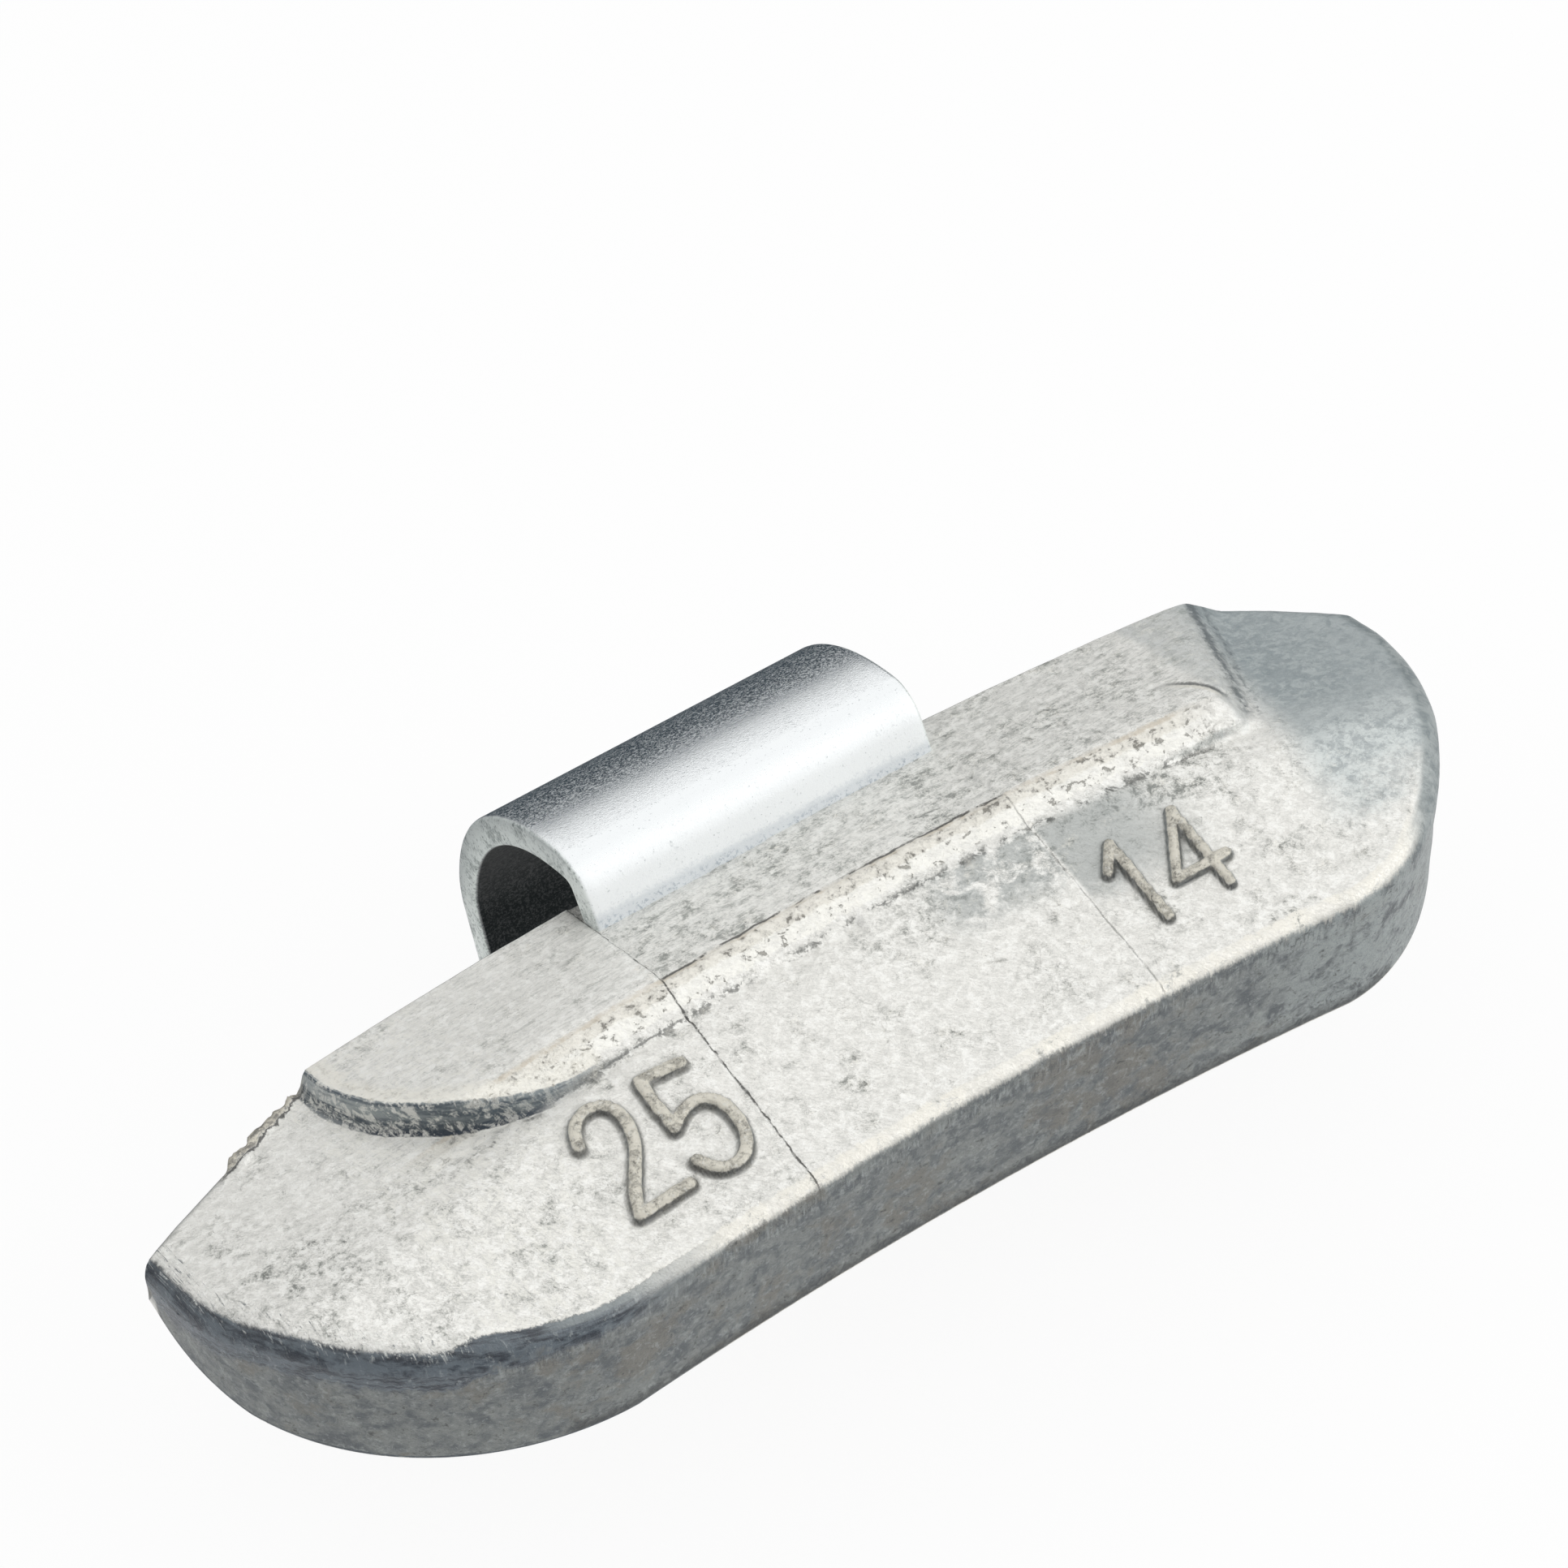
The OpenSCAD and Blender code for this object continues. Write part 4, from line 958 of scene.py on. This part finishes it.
def plain_quad(name, width, depth, centre, facing):
    """A flat rectangle around a point, square to a direction."""
    turn = Vector(facing).to_track_quat("Z", "Y").to_matrix().to_4x4()
    move = Matrix.Translation(Vector(centre)) @ turn
    corners = [move @ Vector((a * width / 2, b * depth / 2, 0)) for a, b in ((-1, -1), (1, -1), (1, 1), (-1, 1))]
    mesh = bpy.data.meshes.new(name)
    mesh.from_pydata(corners, [], [(0, 1, 2, 3)])
    made = bpy.data.objects.new(name, mesh)
    bpy.context.scene.collection.objects.link(made)
    return made


def soft_box(name, width, depth, place, target, power):
    """A rectangular lamp that faces a point."""
    data = bpy.data.lights.new(name, "AREA")
    data.shape, data.size, data.size_y, data.energy = "RECTANGLE", width, depth, power
    lamp = bpy.data.objects.new(name, data)
    bpy.context.scene.collection.objects.link(lamp)
    lamp.location = place
    lamp.rotation_euler = (Vector(target) - Vector(place)).to_track_quat("-Z", "Y").to_euler()
    lamp.visible_camera = False
    return lamp


class WEIGHT_OT_stage(bpy.types.Operator):
    """Set up the pale floor, the soft lamps and the camera"""
    bl_idname = "balance_weight.stage"
    bl_label = "Set up the studio"

    def execute(self, context):
        t, scene = context.scene.weight_stage, context.scene
        scene.view_settings.view_transform = "Standard"
        self.floor(t)
        self.world(t, scene)
        top_box = soft_box("top_box", 0.9, 0.9, (0.02, 0.04, 0.45), (0, -0.008, 0), t.top_light)
        top_box.visible_glossy = False
        soft_box("right_box", 0.35, 0.35, (0.33, -0.28, 0.22), (0, -0.008, 0), t.right_light)
        cards = [plain_quad("dark_card_left", 0.42, 0.24, (-0.22, -0.15, 0.13), (1, 0.7, -0.4)),
                 plain_quad("dark_card_floor", 0.9, 0.79, (0.2, 0.405, CLIP_LOW.z), (0, 0, 1))]
        for panel, tone in zip(cards, (linear(30, 40, 52), linear(62, 72, 80))):
            sh = Shader(panel.name)
            panel.data.materials.append(sh.finish(sh.node("ShaderNodeEmission", None, Color=(*tone, 1), Strength=1.0)))
            panel.visible_camera = panel.visible_diffuse = panel.visible_shadow = False
        self.camera(scene)
        return {"FINISHED"}

    def floor(self, t):
        """A plain pale floor that shows white to the camera and in gloss, and keeps the shadow."""
        floor = plain_quad("floor", 6.0, 6.0, (0, 0, CLIP_LOW.z - 0.05 * MM), (0, 0, 1))
        sh = Shader("pale_floor")
        path = sh.node("ShaderNodeLightPath")
        seen = Num(sh, path.outputs["Is Camera Ray"]).high(Num(sh, path.outputs["Is Glossy Ray"])) \
            .high(Num(sh, path.outputs["Is Transmission Ray"]))
        dull = sh.node("ShaderNodeBsdfDiffuse", None, Color=(*t.floor, 1))
        glow = sh.node("ShaderNodeEmission", None, Color=(1, 1, 1, 1), Strength=1.0)
        share = sh.node("ShaderNodeMixShader", None, seen * 0.9, dull.outputs[0], glow.outputs[0])
        floor.data.materials.append(sh.finish(share))

    def world(self, t, scene):
        """White where it is seen directly or in gloss, and a plain even light on the rest."""
        world = bpy.data.worlds.new("studio")
        scene.world = world
        world.use_nodes = True
        tree = world.node_tree
        tree.nodes.clear()
        path = tree.nodes.new("ShaderNodeLightPath")
        light, white = tree.nodes.new("ShaderNodeBackground"), tree.nodes.new("ShaderNodeBackground")
        light.inputs[0].default_value, light.inputs[1].default_value = (1, 1, 1, 1), t.ambient
        white.inputs[0].default_value, white.inputs[1].default_value = (1, 1, 1, 1), 1.0
        either, all_three = tree.nodes.new("ShaderNodeMath"), tree.nodes.new("ShaderNodeMath")
        either.operation = all_three.operation = "MAXIMUM"
        mix, out = tree.nodes.new("ShaderNodeMixShader"), tree.nodes.new("ShaderNodeOutputWorld")
        tree.links.new(path.outputs["Is Camera Ray"], either.inputs[0])
        tree.links.new(path.outputs["Is Glossy Ray"], either.inputs[1])
        tree.links.new(either.outputs[0], all_three.inputs[0])
        tree.links.new(path.outputs["Is Transmission Ray"], all_three.inputs[1])
        tree.links.new(all_three.outputs[0], mix.inputs[0])
        tree.links.new(light.outputs[0], mix.inputs[1])
        tree.links.new(white.outputs[0], mix.inputs[2])
        tree.links.new(mix.outputs[0], out.inputs[0])

    def camera(self, scene):
        """The photograph's view: turned about the body's near edge, then moved across its own frame."""
        azimuth, elevation, roll = (math.radians(v) for v in (-31.94, 53.91, 1.33))
        back = Vector((math.sin(azimuth) * math.cos(elevation), -math.cos(azimuth) * math.cos(elevation),
                       math.sin(elevation)))
        right = (-back).cross(Vector((0, 0, 1))).normalized()
        down = (-back).cross(right)
        across = math.cos(roll) * right + math.sin(roll) * down
        below = math.cos(roll) * down - math.sin(roll) * right
        place = back * 0.215239 - across * 0.006866 - below * 0.013340 + Vector((0, -0.0155925, 0))
        data = bpy.data.cameras.new("photo_camera")
        data.sensor_width, data.lens = 36.0, 36.0 * 8000 / 1932
        data.clip_start, data.clip_end = 0.01, 10.0
        camera = bpy.data.objects.new("photo_camera", data)
        scene.collection.objects.link(camera)
        turn = Matrix((across, -below, back)).transposed().to_4x4()
        camera.matrix_world = Matrix.Translation(place) @ turn
        scene.camera = camera


class WEIGHT_PT_panel(bpy.types.Panel):
    """The weight's tools in the sidebar"""
    bl_label = "Balance weight"
    bl_idname = "WEIGHT_PT_panel"
    bl_space_type = "VIEW_3D"
    bl_region_type = "UI"
    bl_category = "Weight"

    def draw(self, context):
        for operator in (WEIGHT_OT_stage, WEIGHT_OT_body, WEIGHT_OT_clip):
            self.layout.operator(operator.bl_idname)
        for group in ("weight_body", "weight_clip", "weight_finish", "weight_stage"):
            settings = getattr(context.scene, group)
            box = self.layout.box()
            for key in settings.bl_rna.properties.keys():
                if key not in ("rna_type", "name"):
                    box.prop(settings, key)


GROUPS = {"weight_body": WEIGHT_PG_body, "weight_clip": WEIGHT_PG_clip, "weight_finish": WEIGHT_PG_finish,
          "weight_stage": WEIGHT_PG_stage}
CLASSES = (*GROUPS.values(), WEIGHT_OT_stage, WEIGHT_OT_body, WEIGHT_OT_clip, WEIGHT_PT_panel)


def register():
    for cls in CLASSES:
        bpy.utils.register_class(cls)
    for key, cls in GROUPS.items():
        setattr(bpy.types.Scene, key, PointerProperty(type=cls))


def unregister():
    for key in GROUPS:
        delattr(bpy.types.Scene, key)
    for cls in reversed(CLASSES):
        bpy.utils.unregister_class(cls)


def corners(bounds):
    return [list(map(float, corner)) for corner in bounds]


def main():
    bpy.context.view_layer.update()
    register()
    bpy.ops.balance_weight.stage()
    bpy.ops.balance_weight.body()
    bpy.ops.balance_weight.clip()
    bpy.context.view_layer.update()


if __name__ == "__main__":
    main()
